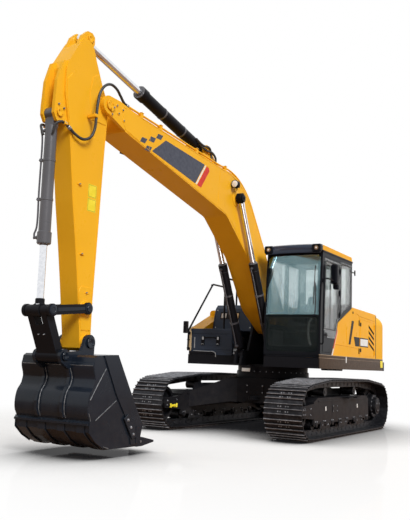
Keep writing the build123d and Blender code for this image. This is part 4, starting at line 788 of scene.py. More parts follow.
def dress_arm_hoses():
    """Hoses over the boom's end and down the arm to the bucket cylinder, with their clamps."""
    clamps, collars = forms("arm", arm_hose_clamps="boom", arm_hose_collars="bare")
    boom_end = Form("boom_hose_collars", "bare", "boom")
    for word, sy in SIDES:
        def mirrored(points):
            return [(x, sy * y, z) for x, y, z in points]
        loop = Form(f"boom_arm_hose_{word}", "rubber",
                    ("boom", "arm", *mirrored([(5230, 235, 4330), (5560, 235, 3960)])))
        loop.tube(mirrored([
            (4880, 172, 4262), (4975, 178, 4276), (5080, 200, 4325), (5200, 226, 4372), (5330, 240, 4380),
            (5450, 244, 4318), (5528, 243, 4200), (5558, 240, 4040), (5562, 236, 3880), (5568, 226, 3740),
            (5616, 208, 3634), (5712, 188, 3586), (5830, 168, 3612), (5925, 152, 3668), (5990, 146, 3702)]), 17, 12)
        tail = Form(f"bucket_cylinder_hose_{word}", "rubber",
                    ("arm", "bucket_barrel", *mirrored([(6010, 140, 3700), (6085, 100, 3650)])))
        tail.tube(mirrored([(5990, 146, 3702), (6040, 140, 3704), (6088, 122, 3680), (6104, 100, 3640),
                            (6100, 84, 3590), (6096, 70, 3560)]), 15, 12)
        for place, rise in (((5990, sy * 146, 3702), 0.25), ((5925, sy * 152, 3668), 0.6)):
            collars.lathe(place, (1, 0, rise), [(20, -24), (23, -20), (23, 16), (19, 20)], 12)
        boom_end.lathe((4880, sy * 172, 4262), (1, 0, 0.06), [(19, -6), (22, 0), (22, 40), (18, 44), (18, 62)], 12)
        clamps.block((5560, sy * 137, 3885), (5604, sy * 262, 3925))
        clamps.block((5960, sy * 130, 3680), (6012, sy * 168, 3724))


# ---------------------------------------------------------------- boom
BOOM_UPPER = [
    (5000, 4205), (4600, 4184), (3800, 4136), (2900, 4082), (2480, 4056), (2200, 4042), (1900, 3968), (1600, 3790),
    (1300, 3500), (1000, 3140), (700, 2760), (400, 2385), (220, 2160)]
BOOM_LOWER = [
    (4900, 3910), (4300, 3790), (3500, 3632), (2700, 3474), (2300, 3392), (2020, 3238), (1800, 3066), (1560, 2872),
    (1400, 2690), (1200, 2440), (1000, 2190), (820, 1990), (520, 1832), (330, 1722)]
BOOM_JOINTS = [[(4420, 3822), (4400, 4160)], [(2560, 3452), (2520, 4050)], [(1480, 2800), (1250, 3420)]]
BAND_SQUARES = [(4555, 3912), (4440, 3832), (4360, 3978), (4195, 4062)]
LAMP = (2171, 277, 3890)


def boom_top(x):
    return 4074 + max(0, x - 2500) * 148 / 2460


def dress_boom():
    yellow, welds, bits, black = forms(
        "boom", boom_fittings="boom", boom_welds="boom", boom_bolts="track_bright", boom_pin_covers="black")
    for _, sy in SIDES:
        face = sy * BOOM_SIDE
        for line in (BOOM_UPPER, BOOM_LOWER):
            welds.bead(side(line, face), 4)
        for line in BOOM_JOINTS:
            welds.bead(side(line, face), 3)
        yellow.plate([(4640, 3866), (4950, 3930), (5010, 4010), (5010, 4180), (4900, 4205), (4640, 4176)], face, 5, 3)
        yellow.disc(BOOM_CYL_PIN, face, [(128, 0), (128, 5), (116, 12), (84, 14)], 32)
        yellow.disc(FOOT, sy * 210, [(120, -4), (120, 0.8)], 32)
        for place in ((5150, 4180), (5110, 4090), (5240, 4040), (5030, 4160), (5000, 4030)):
            yellow.disc(place, face + sy, [(22, 0), (22, 5), (18, 8)], 16)
            bits.bolt((place[0], face + sy * 9, place[1]), (0, sy, 0), 9, 8)
        black.disc(BOOM_CYL_PIN, sy * 228, [(62, 0), (62, 13), (50, 14)], 28)
        yellow.pin_cap(ARM_CYL_BASE, sy * 112, 50, 2, 8)
        welds.bead(side([(2385, 4090), (2560, 4086), (2860, 4104)], sy * 104), 6)
        for x in (2330, 3200, 4150, 4600):      # pipe clips
            z = boom_top(x) + 62
            yellow.slab([(x + dx, sy * y, z) for dx, y in box(-28, 28, 140, 204)], (0, 0, 7), 2)
            for y in (152, 192):
                bits.bolt((x, sy * y, z + 7), UP, 7, 6)
    for x in (3300, 4450):                      # plate joints across the top
        welds.bead([(x, y, boom_top(x) + 0.5) for y in (-150, 0, 150)], 3)


def dress_boom_band():
    """Blank grey band, squares and stripe on the boom's sides."""
    for word, sy in SIDES:
        grey, line, stripe = forms("boom", word, boom_band_="decal_grey", boom_line_="pale_plate/boom_yellow",
                                   boom_stripe_="decal_red/boom_yellow")
        face = sy * BOOM_SIDE
        grey.plate([(4357, 3823), (4042, 4058), (2990, 3990), (3240, 3650)], face, 1.2)
        for (x, z), a, b in [(place, 62, 34) for place in BAND_SQUARES] + [((4320, 3900), 10, 6)]:
            grey.plate([(x + a + 20, z - b - 4), (x - a + 28, z - b), (x - a - 20, z + b + 4), (x + a - 28, z + b)],
                       face, 1.2)
        line.plate([(3226, 3646), (3196, 3642), (2946, 3984), (2976, 3987)], face, 1.2)
        stripe.plate([(3182, 3640), (3075, 3622), (2846, 3930), (2874, 3976), (2932, 3982)], face, 1.2)


def dress_boom_top():
    """Work lamp, hoses to the arm cylinder and lines up the boom's foot."""
    lens, rim, fittings = forms("boom", boom_lamp_lens="lens", boom_lamp_rim="black", boom_top_fittings="bare")
    x, y, z = LAMP
    lens.lathe(LAMP, (1, 0, 0), [(55, 0), (55, 3), (48, 7), (30, 10), (8, 11)], 32)
    rim.rings([around((x + dx, y, z), r, 32, 0, ACROSS)
               for dx, r in ((-3, 62.5), (6, 62.5), (9, 60), (9, 56), (2, 54))], caps=False)
    rim.lathe((x - 62, y, z), (-1, 0, 0), [(58, 0), (44, 14), (20, 20)], 24)
    for rib in range(y - 36, y + 37, 12):
        rim.slab(side([(2068, 3850), (2070, 3930), (2108, 3945), (2108, 3835)], rib), (0, 3, 0))
    rim.tube([(2092, 262, 3860), (2040, 250, 3830), (1990, 222, 3850), (1940, 212, 3900), (1880, 206, 3900)], 6, 8)
    for word, sy in SIDES:
        for k, (x, lift) in enumerate(((2560, 0), (2650, 46))):
            y, z = sy * (140 - 30 * k), boom_top(x) + 45
            fittings.lathe((x, y, z - 30), UP,
                           [(22, 0), (22, 22), (17, 24), (17, 40), (21, 42), (21, 56), (15, 58)], 12)
            hose = Form(f"arm_cylinder_hose_{word}_{k}", "rubber",
                        ("boom", "arm_barrel", (2700, sy * 100, 4260), (3000, sy * 90, 4420)))
            hose.tube([(x, y, z + 20), (x + 10, y, z + 90 + lift)] + [
                (x + dx, sy * dy, z + dz + lift)
                for dx, dy, dz in ((110, 134, 150), (260, 126, 140), (370, 112, 170), (430, 92, 210))], 17, 10)
        # lines that come out of the frame and climb the boom's back to its pipes
        for k, y in enumerate((172, 118, 64)):
            line = Form(f"boom_foot_hose_{word}_{k}", "rubber",
                        ("upper_structure", "boom", (-60, sy * y, 1800), (330, sy * y, 2200)))
            line.tube([(-420, sy * (y - 10), 1180 + 40 * k), (-330, sy * (y - 6), 1320)] + side(
                [(-190, 1560), (-90, 1820), (30, 2080), (200, 2320), (420, 2590), (620, 2810)], sy * y), 18, 10)
            fittings.lathe((600, sy * y, 2788), (0.64, 0, 0.76), [(22, 0), (25, 4), (25, 36), (20, 40), (20, 60)], 12)
            if k:
                pipe = Form(f"boom_back_pipe_{word}_{k}", "boom", "boom")
                pipe.tube(side([(630, 2830), (850, 3072), (1150, 3420), (1500, 3800), (1800, 4010), (2100, 4098),
                                (2400, 4116)], sy * y) + [(2470 + 90 * k, sy * (170 - 30 * k), 4122)], 14, 10)


dress_arm()
dress_arm_hoses()
dress_boom()
dress_boom_band()
dress_boom_top()


# ---------------------------------------------------------------- cab, outside
CAB_IN, CAB_OUT, CAB_FRONT, CAB_REAR, CAB_FLOOR = 385, 1360, 1200, -270, 1270
CAB_MIDDLE, LAMP_Z = 872, 2972
VISOR_OUTER = [(1128, 3040), (1168, 3040), (1206, 3022), (1226, 2985), (1232, 2930), (1226, 2890)]
VISOR_INNER = [(1128, 3032), (1164, 3032), (1198, 3016), (1218, 2982), (1224, 2930), (1218, 2892)]
PANE_LEAN, LEAN_FROM = 66 / 930, 1950      # the windscreen leans back above this height
WINDOW_SEALS = [  # the right side's panes and the quarter light
    (CAB_IN - 1, [(1040, 2850), (420, 2850), (420, 1750), (1080, 1750)]),
    (CAB_IN - 1, [(360, 2850), (-190, 2850), (-190, 2100), (360, 1850)]),
    (CAB_OUT + 1, [(300, 2850), (-210, 2850), (-210, 2175), (300, 1958)])]
CAB_BLOCKS = [  # gutter, skirt, wiper's motor cover, mirror and marker stalk: low and high corner, edge
    ((CAB_REAR - 8, CAB_OUT - 4, 2922), (CAB_FRONT - 60, CAB_OUT + 12, 2950), 4),
    ((CAB_REAR - 8, CAB_IN - 12, 2922), (CAB_FRONT - 60, CAB_IN + 4, 2950), 4),
    ((CAB_REAR - 14, CAB_IN, 2922), (CAB_REAR + 2, CAB_OUT, 2950), 4),
    ((CAB_FRONT - 34, CAB_IN + 4, 1237), (CAB_FRONT - 6, CAB_OUT - 4, 1271), 4),
    ((740, CAB_OUT - 30, 1237), (CAB_FRONT - 6, CAB_OUT - 4, 1271), 4),
    ((CAB_REAR, CAB_IN + 2, 1237), (CAB_FRONT - 6, CAB_IN + 30, 1271), 4),
    ((1172, 1200, 1872), (1214, 1300, 1914), 8),
    ((744, 1374, 2430), (838, 1488, 2764), 22),
    ((690, 1384, 2352), (752, 1480, 2446), 16),
    ((-388, 1362, 2716), (-366, 1384, 2812), 5)]


def edges_of(outline):
    return zip(outline, outline[1:] + outline[:1])


def rounded(y0, y1, z0, z1, radius, steps, square=""):
    """A rectangle seen from ahead with rounded corners; its low or high corners may stay square."""
    loop = []
    for y, z, cy, cz, start, row in (
            (y1, z1, y1 - radius, z1 - radius, 0, "high"), (y0, z1, y0 + radius, z1 - radius, 90, "high"),
            (y0, z0, y0 + radius, z0 + radius, 180, "low"), (y1, z0, y1 - radius, z0 + radius, 270, "low")):
        turns = [math.radians(start + 90 * k / steps) for k in range(steps + 1)]
        arc = [(cy + radius * math.cos(t), cz + radius * math.sin(t)) for t in turns]
        loop += [(y, z)] if row == square else arc
    return loop


def lean(z):
    return max(0, z - LEAN_FROM) * PANE_LEAN


def dress_cab():
    trim, rubber, bits, rail, hatch, visor, mirror = forms(
        "upper_structure", cab_trim="cab", cab_seals="rubber", cab_bolts="bare", cab_grab_rails="rail_grey",
        cab_roof_hatch="cab", cab_visor="visor_blue", cab_mirror_glass="mirror")
    for low, high, edge in CAB_BLOCKS:
        trim.block(low, high, edge)
    # a curved dark sheet between the lamps
    width = CAB_OUT - CAB_IN - 24
    visor.rings([[(x, y, z + 14 * (1 - ((y - CAB_MIDDLE) / 480) ** 2)) for x, z in VISOR_OUTER + VISOR_INNER[::-1]]
                 for y in (CAB_IN + 12 + width * i / 14 for i in range(15))])
    # windscreen frame: rounded seal round both panes, wiper and its arm
    for z0, z1 in ((1935, 2862), (1415, 1862)):
        loop = [Vector((CAB_FRONT - 21 - lean(z), y, z)) for y, z in rounded(CAB_IN + 74, CAB_OUT - 74, z0, z1, 70, 4)]
        middle = sum(loop, Vector()) / len(loop)
        rubber.rings([[p + (p - middle).normalized() * grow + Vector((dx, 0, 0)) for p in loop]
                      for dx, grow in ((0, 10), (7, 8), (7, -8), (0, -10))], caps=False)
    rubber.tube([(1204, 1262, 1905), (1202, 1268, 2010), (1186, 1262, 2240), (1172, 1252, 2420)], 8, 8)
    rubber.slab([(1196, 1228, 2060), (1154, 1236, 2700), (1154, 1246, 2700), (1196, 1238, 2060)], (7, 0, 0), 1)
    # pale handrail behind the lower pane, grab bar on the left post, mirror arm and marker stalk
    rail.tube([(1146, 1180, 1440), (1120, 1150, 1470), (1110, 1120, 1640), (1112, 1140, 1800), (1128, 1180, 1850)],
              16, 12)
    trim.tube([(1150, 1361, 1450), (1154, 1388, 1470), (1154, 1390, 1530), (1150, 1390, 2200), (1140, 1388, 2420),
               (1134, 1361, 2440)], 12, 10)
    trim.tube([(1134, 1358, 2480), (1100, 1410, 2492), (960, 1440, 2486), (800, 1440, 2480)], 12, 8)
    trim.tube([(-262, 1356, 2760), (-310, 1368, 2764), (-372, 1372, 2764)], 9, 8)
    mirror.block((740, 1388, 2452), (744.5, 1476, 2744), 1)
    # roof: hatch with its handle and the beacon's foot
    hatch.block((240, 560, 3024), (860, 1180, 3042), 8)
    hatch.tube([(x, 840, z) for x, z in ((320, 3040), (330, 3060), (370, 3062), (410, 3060), (420, 3040))], 6, 8)
    hatch.lathe((-120, 1240, 3020), UP, [(36, 0), (36, 8), (16, 14), (10, 40), (5, 44)], 20)
    for y in (CAB_IN + 60, 700, 1040, CAB_OUT - 60):
        for x in (-200, 1040):
            bits.bolt((x, y, 3024), UP, 9, 6)
    # window seals, a little inside the openings' edges, and the rear window's
    for y, outline in WINDOW_SEALS:
        middle = sum(map(Vector, outline), Vector((0, 0))) / 4
        for ends in edges_of([Vector(p).lerp(middle, 0.02) for p in outline]):
            rubber.tube(side(ends, y), 9, 6)
    for ends in edges_of(box(485, 1260, 2200, 2840)):
        rubber.tube([(CAB_REAR - 2, y, z) for y, z in ends], 9, 6)


def dress_cab_lamps():
    """Dark housings with ribbed backs and clear lenses at the cab's upper corners."""
    case, lens, core = forms("upper_structure", cab_lamp_cases="cab", cab_lamp_lenses="lens_amber",
                             cab_lamp_bulbs="lens")
    octagon = ((-1, -0.7), (-0.8, -1), (0.8, -1), (1, -0.7), (1, 0.7), (0.8, 1), (-0.8, 1), (-1, 0.7))
    for y in (CAB_IN + 64, CAB_OUT - 74):
        case.rings([[(CAB_FRONT + dx, y + a * w, LAMP_Z + b * h) for a, b in octagon] for dx, w, h in (
            (-90, 60, 52), (-60, 74, 66), (30, 74, 66), (52, 68, 60), (54, 58, 48), (43, 52, 42), (42, 8, 8))])
        lens.lathe((CAB_FRONT + 44, y, LAMP_Z), (1, 0, 0), [(34, 0), (34, 3), (26, 7), (12, 9), (4, 10)], 24)
        core.lathe((CAB_FRONT + 51, y, LAMP_Z), (1, 0, 0), [(15, 0), (15, 3), (9, 5)], 18)


def dress_cab_door():
    trim, rubber, pane = forms("cab_door", cab_door_trim="cab", cab_door_seal="rubber", cab_door_outer_pane="glass")
    for ends in edges_of([(560, 1700), (1050, 1700), (1045, 2000), (1000, 2790), (420, 2790), (420, 1910),
                          (478, 1880), (530, 1750)]):
        rubber.tube(side(ends, CAB_OUT + 1), 9, 6)
    # handle in its cup, kick plate, sliding pane's bar and grab bar
    trim.plate(box(920, 1060, 1560, 1640), CAB_OUT, 6, 3)
    trim.tube([(x, CAB_OUT + y, 1600) for x, y in ((940, 6), (944, 24), (980, 28), (1030, 24), (1036, 6))], 9, 8)
    trim.plate([(725, CAB_FLOOR + 75), (1095, CAB_FLOOR + 75), (1095, 1500), (650, 1500)], CAB_OUT, 3, 2)
    trim.block((735, CAB_OUT - 24, 1700), (765, CAB_OUT - 4, 2792), 3)
    trim.tube([(x, CAB_OUT - y, z) for x, y, z in (
        (560, 60, 1660), (560, 84, 1670), (700, 90, 1672), (880, 84, 1670), (880, 60, 1660))], 11, 8)
    pane.plate([(500, 1560), (1088, 1560), (1092, 2000), (1042, 2836), (376, 2836), (376, 1885), (440, 1855),
                (484, 1720)], CAB_OUT + 0.6, 3, 1)


# ---------------------------------------------------------------- cab, inside
SEAT_Y = 870


def dress_cab_inside():
    dark, screen = forms("upper_structure", cab_lining="plastic", cab_monitor_screen="screen")
    for low, high, edge in (        # headliner, floor, monitor, right console and rear shelf
            ((CAB_REAR + 52, CAB_IN + 52, 2890), (CAB_FRONT - 130, CAB_OUT - 52, 2926), 6),
            ((CAB_REAR + 52, CAB_IN + 52, CAB_FLOOR + 41), (1140, CAB_OUT - 68, CAB_FLOOR + 52), 3),
            ((930, 1140, 2010), (962, 1290, 2160), 8),
            ((700, CAB_IN + 60, 1600), (1090, CAB_IN + 126, 1660), 10),
            ((CAB_REAR + 54, CAB_IN + 80, 2150), (-110, CAB_OUT - 80, 2188), 8)):
        dark.block(low, high, edge)
    for y in range(480, 480 + 14 * 58, 58):             # ribs of the floor mat
        dark.block((560, y, CAB_FLOOR + 52), (1130, y + 20, CAB_FLOOR + 57), 2)
    for y in (SEAT_Y - 290, SEAT_Y + 290):              # levers with boots, and switches on the armrests
        dark.tube(side([(560, 1838), (575, 1880), (590, 1950)], y), lambda t: 20 - 8 * t, 10)
        dark.tube(side([(590, 1950), (596, 2000), (606, 2050), (612, 2085)], y), lambda t: 17 + 9 * math.sin(t * 3), 12)
        dark.lathe((560, y, 1838), UP, [(46, 0), (42, 8), (32, 18), (26, 34), (18, 42)], 20)
        for x in (430, 396, 362, 328):
            dark.lathe((x, y, 1840), UP, [(10, 0), (10, 5), (7, 8)], 12)
    for y in (820, 920):                                # travel pedals and their levers
        dark.slab([(900, y - 34, 1330), (1010, y - 34, 1400), (1010, y + 34, 1400), (900, y + 34, 1330)],
                  (-8, 0, 14), 3)
        dark.lathe((818, y, 1898), (-0.26, 0, 0.96), [(13, -6), (20, 6), (21, 60), (14, 74)], 14)
    dark.tube([(950, 1290, 1980), (950, 1250, 2030), (946, 1215, 2050)], 9, 8)
    screen.block((926, 1150, 2022), (929.5, 1280, 2148), 1)
    for x in (1100, 970, 840):                          # fan outlets
        dark.lathe((x, CAB_IN + 92, 1660), UP, [(28, 0), (28, 8), (22, 12), (16, 8)], 20)


def cushion(name, low, high, channels, crown):
    """A padded block: crowned faces, pulled-in sides and sewn channels, given as (axis, places from -1 to 1)."""
    low, high = Vector(low), Vector(high)
    half, centre = (high - low) / 2, (high + low) / 2
    thin = min(range(3), key=lambda i: half[i])
    wide = [i for i in range(3) if i != thin]
    bm = bmesh.new()
    bmesh.ops.create_cube(bm, size=1.0)
    bmesh.ops.subdivide_edges(bm, edges=bm.edges, cuts=17, use_grid_fill=True)
    for v in bm.verts:
        p = v.co * 2
        a, b = p[wide[0]], p[wide[1]]
        for i in wide:
            p[i] *= 1 - 0.4 * max(0, abs(a) - 0.55) * max(0, abs(b) - 0.55)
        q = Vector(x * h for x, h in zip(p, half))
        q[thin] *= 1 - 0.16 * max(abs(a), abs(b)) ** 8
        if abs(p[thin]) > 0.9:
            sewn = sum(9 * math.exp(-((p[axis] - place) / 0.045) ** 2) for axis, places in channels for place in places)
            q[thin] += math.copysign(1, p[thin]) * (crown * (1 - a ** 4) * (1 - b ** 4) / 2 - sewn)
        v.co = at(*(centre + q))
    bmesh.ops.recalc_face_normals(bm, faces=bm.faces)
    piece = add_mesh(name, bm, "cloth")
    soften = piece.modifiers.new("soften", "SUBSURF")
    soften.levels = soften.render_levels = 1
    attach(piece, "upper_structure")
    return piece


def dress_seat():
    y = SEAT_Y
    seat = cushion("seat_squab", (40, y - 225, 1688), (524, y + 225, 1786), [(1, (-0.52, 0.52)), (0, (0.1,))], 24)
    cushion("seat_back", (-70, y - 215, 1720), (54, y + 215, 2322), [(1, (-0.55, 0.55)), (2, (-0.2, 0.35))], 22)
    cushion("seat_headrest", (-54, y - 125, 2330), (36, y + 125, 2514), [], 18)
    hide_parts("seat_cushion")
    shell = Form("seat_shell", "plastic")
    shell.block((40, y - 170, 1642), (430, y + 170, 1686), 12)
    shell.slab(side([(-78, 1712), (-66, 1712), (-66, 2300), (-78, 2290)], y - 200), (0, 400, 0), 4)
    for _, sy in SIDES:
        shell.rod((-20, y + sy * 60, 2300), (-14, y + sy * 60, 2350), 8)
        shell.tube([(480, y + sy * 240, 1700), (300, y + sy * 236, 1690), (120, y + sy * 236, 1700),
                    (20, y + sy * 236, 1790)], 10, 8)
    # seat belt: a flat strap with its buckle
    shell.slab([(60, y + 228, 1700), (110, y + 228, 1700), (112, y + 120, 1806), (62, y + 120, 1806)], (0, 2, 3))
    shell.block((70, y - 232, 1780), (104, y - 210, 1850), 5)


def dress_outer_panes():
    """Outer panes of the cab: an upper screen with a painted sky reflection, a lower one with painted shade, and the
    quarter light.
    """
    for name, low, high, look, square in (("screen_upper_pane", 1912, 2885, "sky_glass", "low"),
                                          ("screen_lower_pane", 1322, 1906, "dark_glass", "high")):
        loop = rounded(CAB_IN + 34, CAB_OUT - 34, low, high, 90, 6, square)
        Form(name, look).slab([(CAB_FRONT + 1 - lean(z), y, z) for y, z in loop], (3, 0, 0), 1)
    Form("quarter_outer_pane", "glass").plate(
        [(340, 2870), (-240, 2870), (-240, 2196), (340, 1946)], CAB_OUT + 0.6, 3, 1)


dress_cab()
dress_cab_lamps()
dress_cab_door()
dress_cab_inside()
dress_seat()
dress_outer_panes()


# ---------------------------------------------------------------- upper structure
SKIRT_LOW, BAND_TOP, SIDE_OUT = 1069, 1287, 1360
LEFT_FRONT, RIGHT_FRONT = 1221, 701
ROUND_X, ROUND_Y, ROUND_R = -2033, 961, 400
TAIL_X, TAIL_R, TAIL_HALF = -662, 2073, 1160
EXHAUST, SIXTH_TURN = (-1250, -1150), 1.047


def tail_x(y, proud):
    """The tail's curve, kept off its rearmost plane so that nothing lengthens the machine."""
    return max(TAIL_X - math.sqrt((TAIL_R + proud) ** 2 - y * y), TAIL_X - TAIL_R + 0.1)


def corner(proud, angles):
    """Plan of the left rear corner of the body, at angles in degrees."""
    return [(ROUND_X + (ROUND_R + proud) * math.cos(math.radians(a)),
             ROUND_Y + (ROUND_R + proud) * math.sin(math.radians(a))) for a in angles]


def deck_outline(proud):
    """Plan of the deck's edge from the left front, round the tail, to the right front."""
    turn = corner(proud, range(94, 150, 5))
    tail = [(tail_x(y, proud), y) for y in range(TAIL_HALF - 40, 20 - TAIL_HALF, -70)]
    edge = SIDE_OUT + proud
    left = [(LEFT_FRONT, edge - 12), (LEFT_FRONT - 6, edge - 2), (LEFT_FRONT - 20, edge), (0, edge), (-2030, edge)]
    right = [(-2030, -edge), (-700, -edge), (RIGHT_FRONT - 60, -edge), (RIGHT_FRONT - 16, -edge + 6),
             (RIGHT_FRONT, -edge + 30)]
    return left + turn + tail + [(x, -y) for x, y in turn[::-1]] + right


def tail_plate(form, ys, low, high, thick):
    """A thin plate bent to the tail's curve."""
    form.sheet([[(tail_x(y, proud), y, z) for y in ys]
                for z, proud in ((low, 0), (low, thick), (high, thick), (high, 0))])


def dress_band():
    """The dark strip round the foot of the bodywork, its brown tone a painted warm reflection and its two pale lines
    painted highlights, with its reflectors.
    """
    band, lip, pale, amber, red = forms(
        "upper_structure", body_band="band_brown", body_band_lip="band_edge", band_reflectors="pale_plate",
        band_markers="yellow_plate/lamp_glass", tail_reflectors="red_reflector")
    # black skirt coloured brown: a painted warm reflection
    band.sheet([[(x, y, z) for x, y in deck_outline(proud)] for z, proud in (
        (SKIRT_LOW, -3), (SKIRT_LOW, 3), (BAND_TOP - 4, 3), (BAND_TOP, 0), (BAND_TOP, -3))])
    # two pale lines along the band's edges: painted highlights
    for z, r in ((BAND_TOP - 3, 4), (1236, 3)):
        lip.tube([(max(x, TAIL_X - TAIL_R + r + 1), y, z) for x, y in deck_outline(3 - r)], r + 1, 6, 2)
    for _, sy in SIDES:
        pale.plate(box(-18, 22, 1180, 1280), sy * (SIDE_OUT + 3), 3, 1)
        plan = [(-1930, 1366)] + corner(6, range(92, 116, 4))
        amber.sheet([[(x, sy * y, z) for x, y in plan] for z in (1128, 1259)])
        for z0, z1 in ((1120, 1230), (1560, 1640)):
            tail_plate(red, [sy * y for y in range(720, 931, 30)], z0, z1, 6)


def dress_counterweight():
    plate, seams, lens_case = forms("upper_structure", tail_blank_plate="decal_grey/frame_black",
                                    tail_seams="black", tail_camera="cab")
    tail_plate(plate, range(-560, 561, 70), 1640, 1840, 3)
    for _, sy in SIDES:
        y = sy * 640
        seams.tube([(tail_x(y, 1), y, z) for z in (1330, 1700, 1900)], 4, 6, 4)
        seams.block((-1664, sy * 1330, 1290), (-1636, sy * 1362, 2100), 3)
        seams.tube(side([(-2150, 2108), (-2150, 2190), (-2100, 2212), (-2050, 2190), (-2050, 2108)], y), 15, 12)
        for x in (-1800, -2380):
            seams.lathe((x, sy * 420, 2117), UP, [(44, 0), (44, 5), (30, 9), (22, 5)], 24)
    seams.block((-2330, -230, 2116), (-2120, 230, 2128), 4)
    lens_case.block((-2560, -46, 2112), (-2480, 46, 2176), 8)
    lens_case.lathe((-2560, 0, 2146), (-1, 0, 0), [(24, 0), (24, 8), (18, 12), (8, 8)], 20)


def dress_left_panel():
    """Stripe, slot, filler, blank plate and pressed ridges of the fixed panel behind the cab."""
    y = SIDE_OUT
    black, stripe, white, ridge, fit, blank = [Form(name, look, body) for name, look, body in (
        ("left_panel_fittings", "black", "upper_structure"), ("panel_stripe", "decal_red", "upper_structure"),
        ("panel_stripe_edge", "pale_plate/body_yellow", "upper_structure"),
        ("panel_ridges", "body", "upper_structure"), ("left_door_fittings", "black", "left_door"),
        ("door_blank_plate", "pale_plate", "left_door"))]
    stripe.plate([(456, 1710), (426, 1710), (660, 1290), (694, 1290)], y, 2)
    white.plate([(426, 1710), (414, 1710), (648, 1290), (660, 1290)], y, 2)
    white.plate([(694, 1290), (660, 1290), (600, 1400), (632, 1400)], y + 1.5, 1)
    black.plate([(-388, 1915), (-276, 1915), (-122, 1500), (-212, 1500)], y, 3, 2)
    black.disc((-330, 2060), y, [(22, 0), (22, 4), (14, 6), (10, 3)], 18)
    black.plate([(-395, 1643), (-688, 1643), (-688, 1483), (-470, 1483)], y, 3, 1)
    ridge.tube(side([(40, 1860), (-20, 1640), (-60, 1420)], y),
               lambda t: 7 * math.sin(math.pi * max(0.04, min(t, 0.96))), 8)
    ridge.tube(side([(560, 1480), (-640, 1430), (-690, 1400)], y), 6, 8)
    ridge.tube(side([(-520, 2060), (-640, 2030), (-676, 1960)], y), 6, 8)
    fit.plate(box(-1188, -712, 1483, 1643), y, 3, 1)
    blank.plate(box(-1166, -740, 1502, 1624), y + 3, 1.5)
    return black, fit


def dress_panels():
    """Louvres, pressed frames, latches and hinges of the service doors on both sides."""
    for (word, sy), door_front in zip(SIDES, (-700, -860)):
        y, door = sy * SIDE_OUT, f"{word}_door"
        if sy > 0:
            black, fit = dress_left_panel()
        else:
            black, fit = Form(f"{word}_panel_fittings", "black"), Form(f"{door}_fittings", "black", door)
        lips = Form(f"{door}_louvres", "body", door)
        for z in (1400, 1900):
            black.block((door_front + 20, y, z - 50), (door_front + 52, y + sy * 10, z + 50), 3)
        for z in (1905, 1805, 1705, 1605):
            fit.plate([(-1222, z), (-1550, z - 128), (-1550, z - 186), (-1222, z - 58)], y - sy, 2)
            top = [(-1218, z + 2), (-1554, z - 130), (-1554, z - 140), (-1218, z - 8)]
            lips.rings([side(top, y - sy), [(x, y + sy * 13, h - 16) for x, h in top]])
        for a, b in edges_of([(door_front - 40, 1980), (-1530, 1952), (-1536, 1330), (door_front - 40, 1330)]):
            lips.tube(side([a, ((a[0] + b[0]) / 2, (a[1] + b[1]) / 2), b], y), 4.5, 6, 3)
        for z in (1420, 1880):
            fit.block((door_front - 70, y, z - 34), (door_front - 22, y + sy * 12, z + 34), 4)
            fit.disc((door_front - 46, z), y + sy * 12, [(10, 0), (10, 3), (6, 4)], 14)


def dress_hood():
    black, lips = forms("engine_hood", hood_grilles="black", hood_louvres="body")
    pipe, heads = forms("upper_structure", exhaust_tip="steel", deck_bolts="bare")
    for y0 in (-820, 320):
        black.block((-1560, y0, 2117), (-1080, y0 + 500, 2125), 3)
        for x in range(-1545, -1545 + 9 * 52, 52):
            lips.rings([side([(x, 2120), (x + 30, 2134), (x + 34, 2130), (x + 8, 2118)], y)
                        for y in (y0 + 12, y0 + 488)])
    for y in (-560, 560):
        black.tube([(-905, y + dy, z) for dy, z in ((-70, 2122), (-66, 2160), (0, 2166), (66, 2160), (70, 2122))], 9, 8)
        black.block((-1646, y - 60, 2096), (-1612, y + 60, 2130), 6)
    pipe.tube([(x, EXHAUST[1], z) for x, z in ((-1250, 2350), (-1250, 2440), (-1275, 2500), (-1340, 2540))], 47, 20)
    pipe.lathe((*EXHAUST, 2344), UP, [(60, 0), (60, 26), (52, 30)], 24)
    pipe.lathe((*EXHAUST, 2119), UP, [(84, 0), (84, 10), (62, 16)], 28)
    turns = [k * SIXTH_TURN for k in range(6)]
    spots = [((EXHAUST[0] + 74 * math.cos(t), EXHAUST[1] + 74 * math.sin(t), 2128), 7, 5) for t in turns]
    spots += [((x, y, 2080), 9, 6) for x in (-90, -340) for y in (-480, -1300)]
    spots += [((x, y, 2110), 9, 6) for x in (-470, -760) for y in (-480, -1290)]
    spots += [((620 - k * 14, -1100 - (k % 2) * 230, 1235), 6, 4) for k in range(9)]
    for spot, radius, height in spots:
        heads.bolt(spot, UP, radius, height)


def cover_x(z):
    """Front face of the raised cover behind the tool box."""
    return 330 - 30 * (z - 1680) / 220 if z < 1900 else 300 - 60 * (z - 1900) / 190


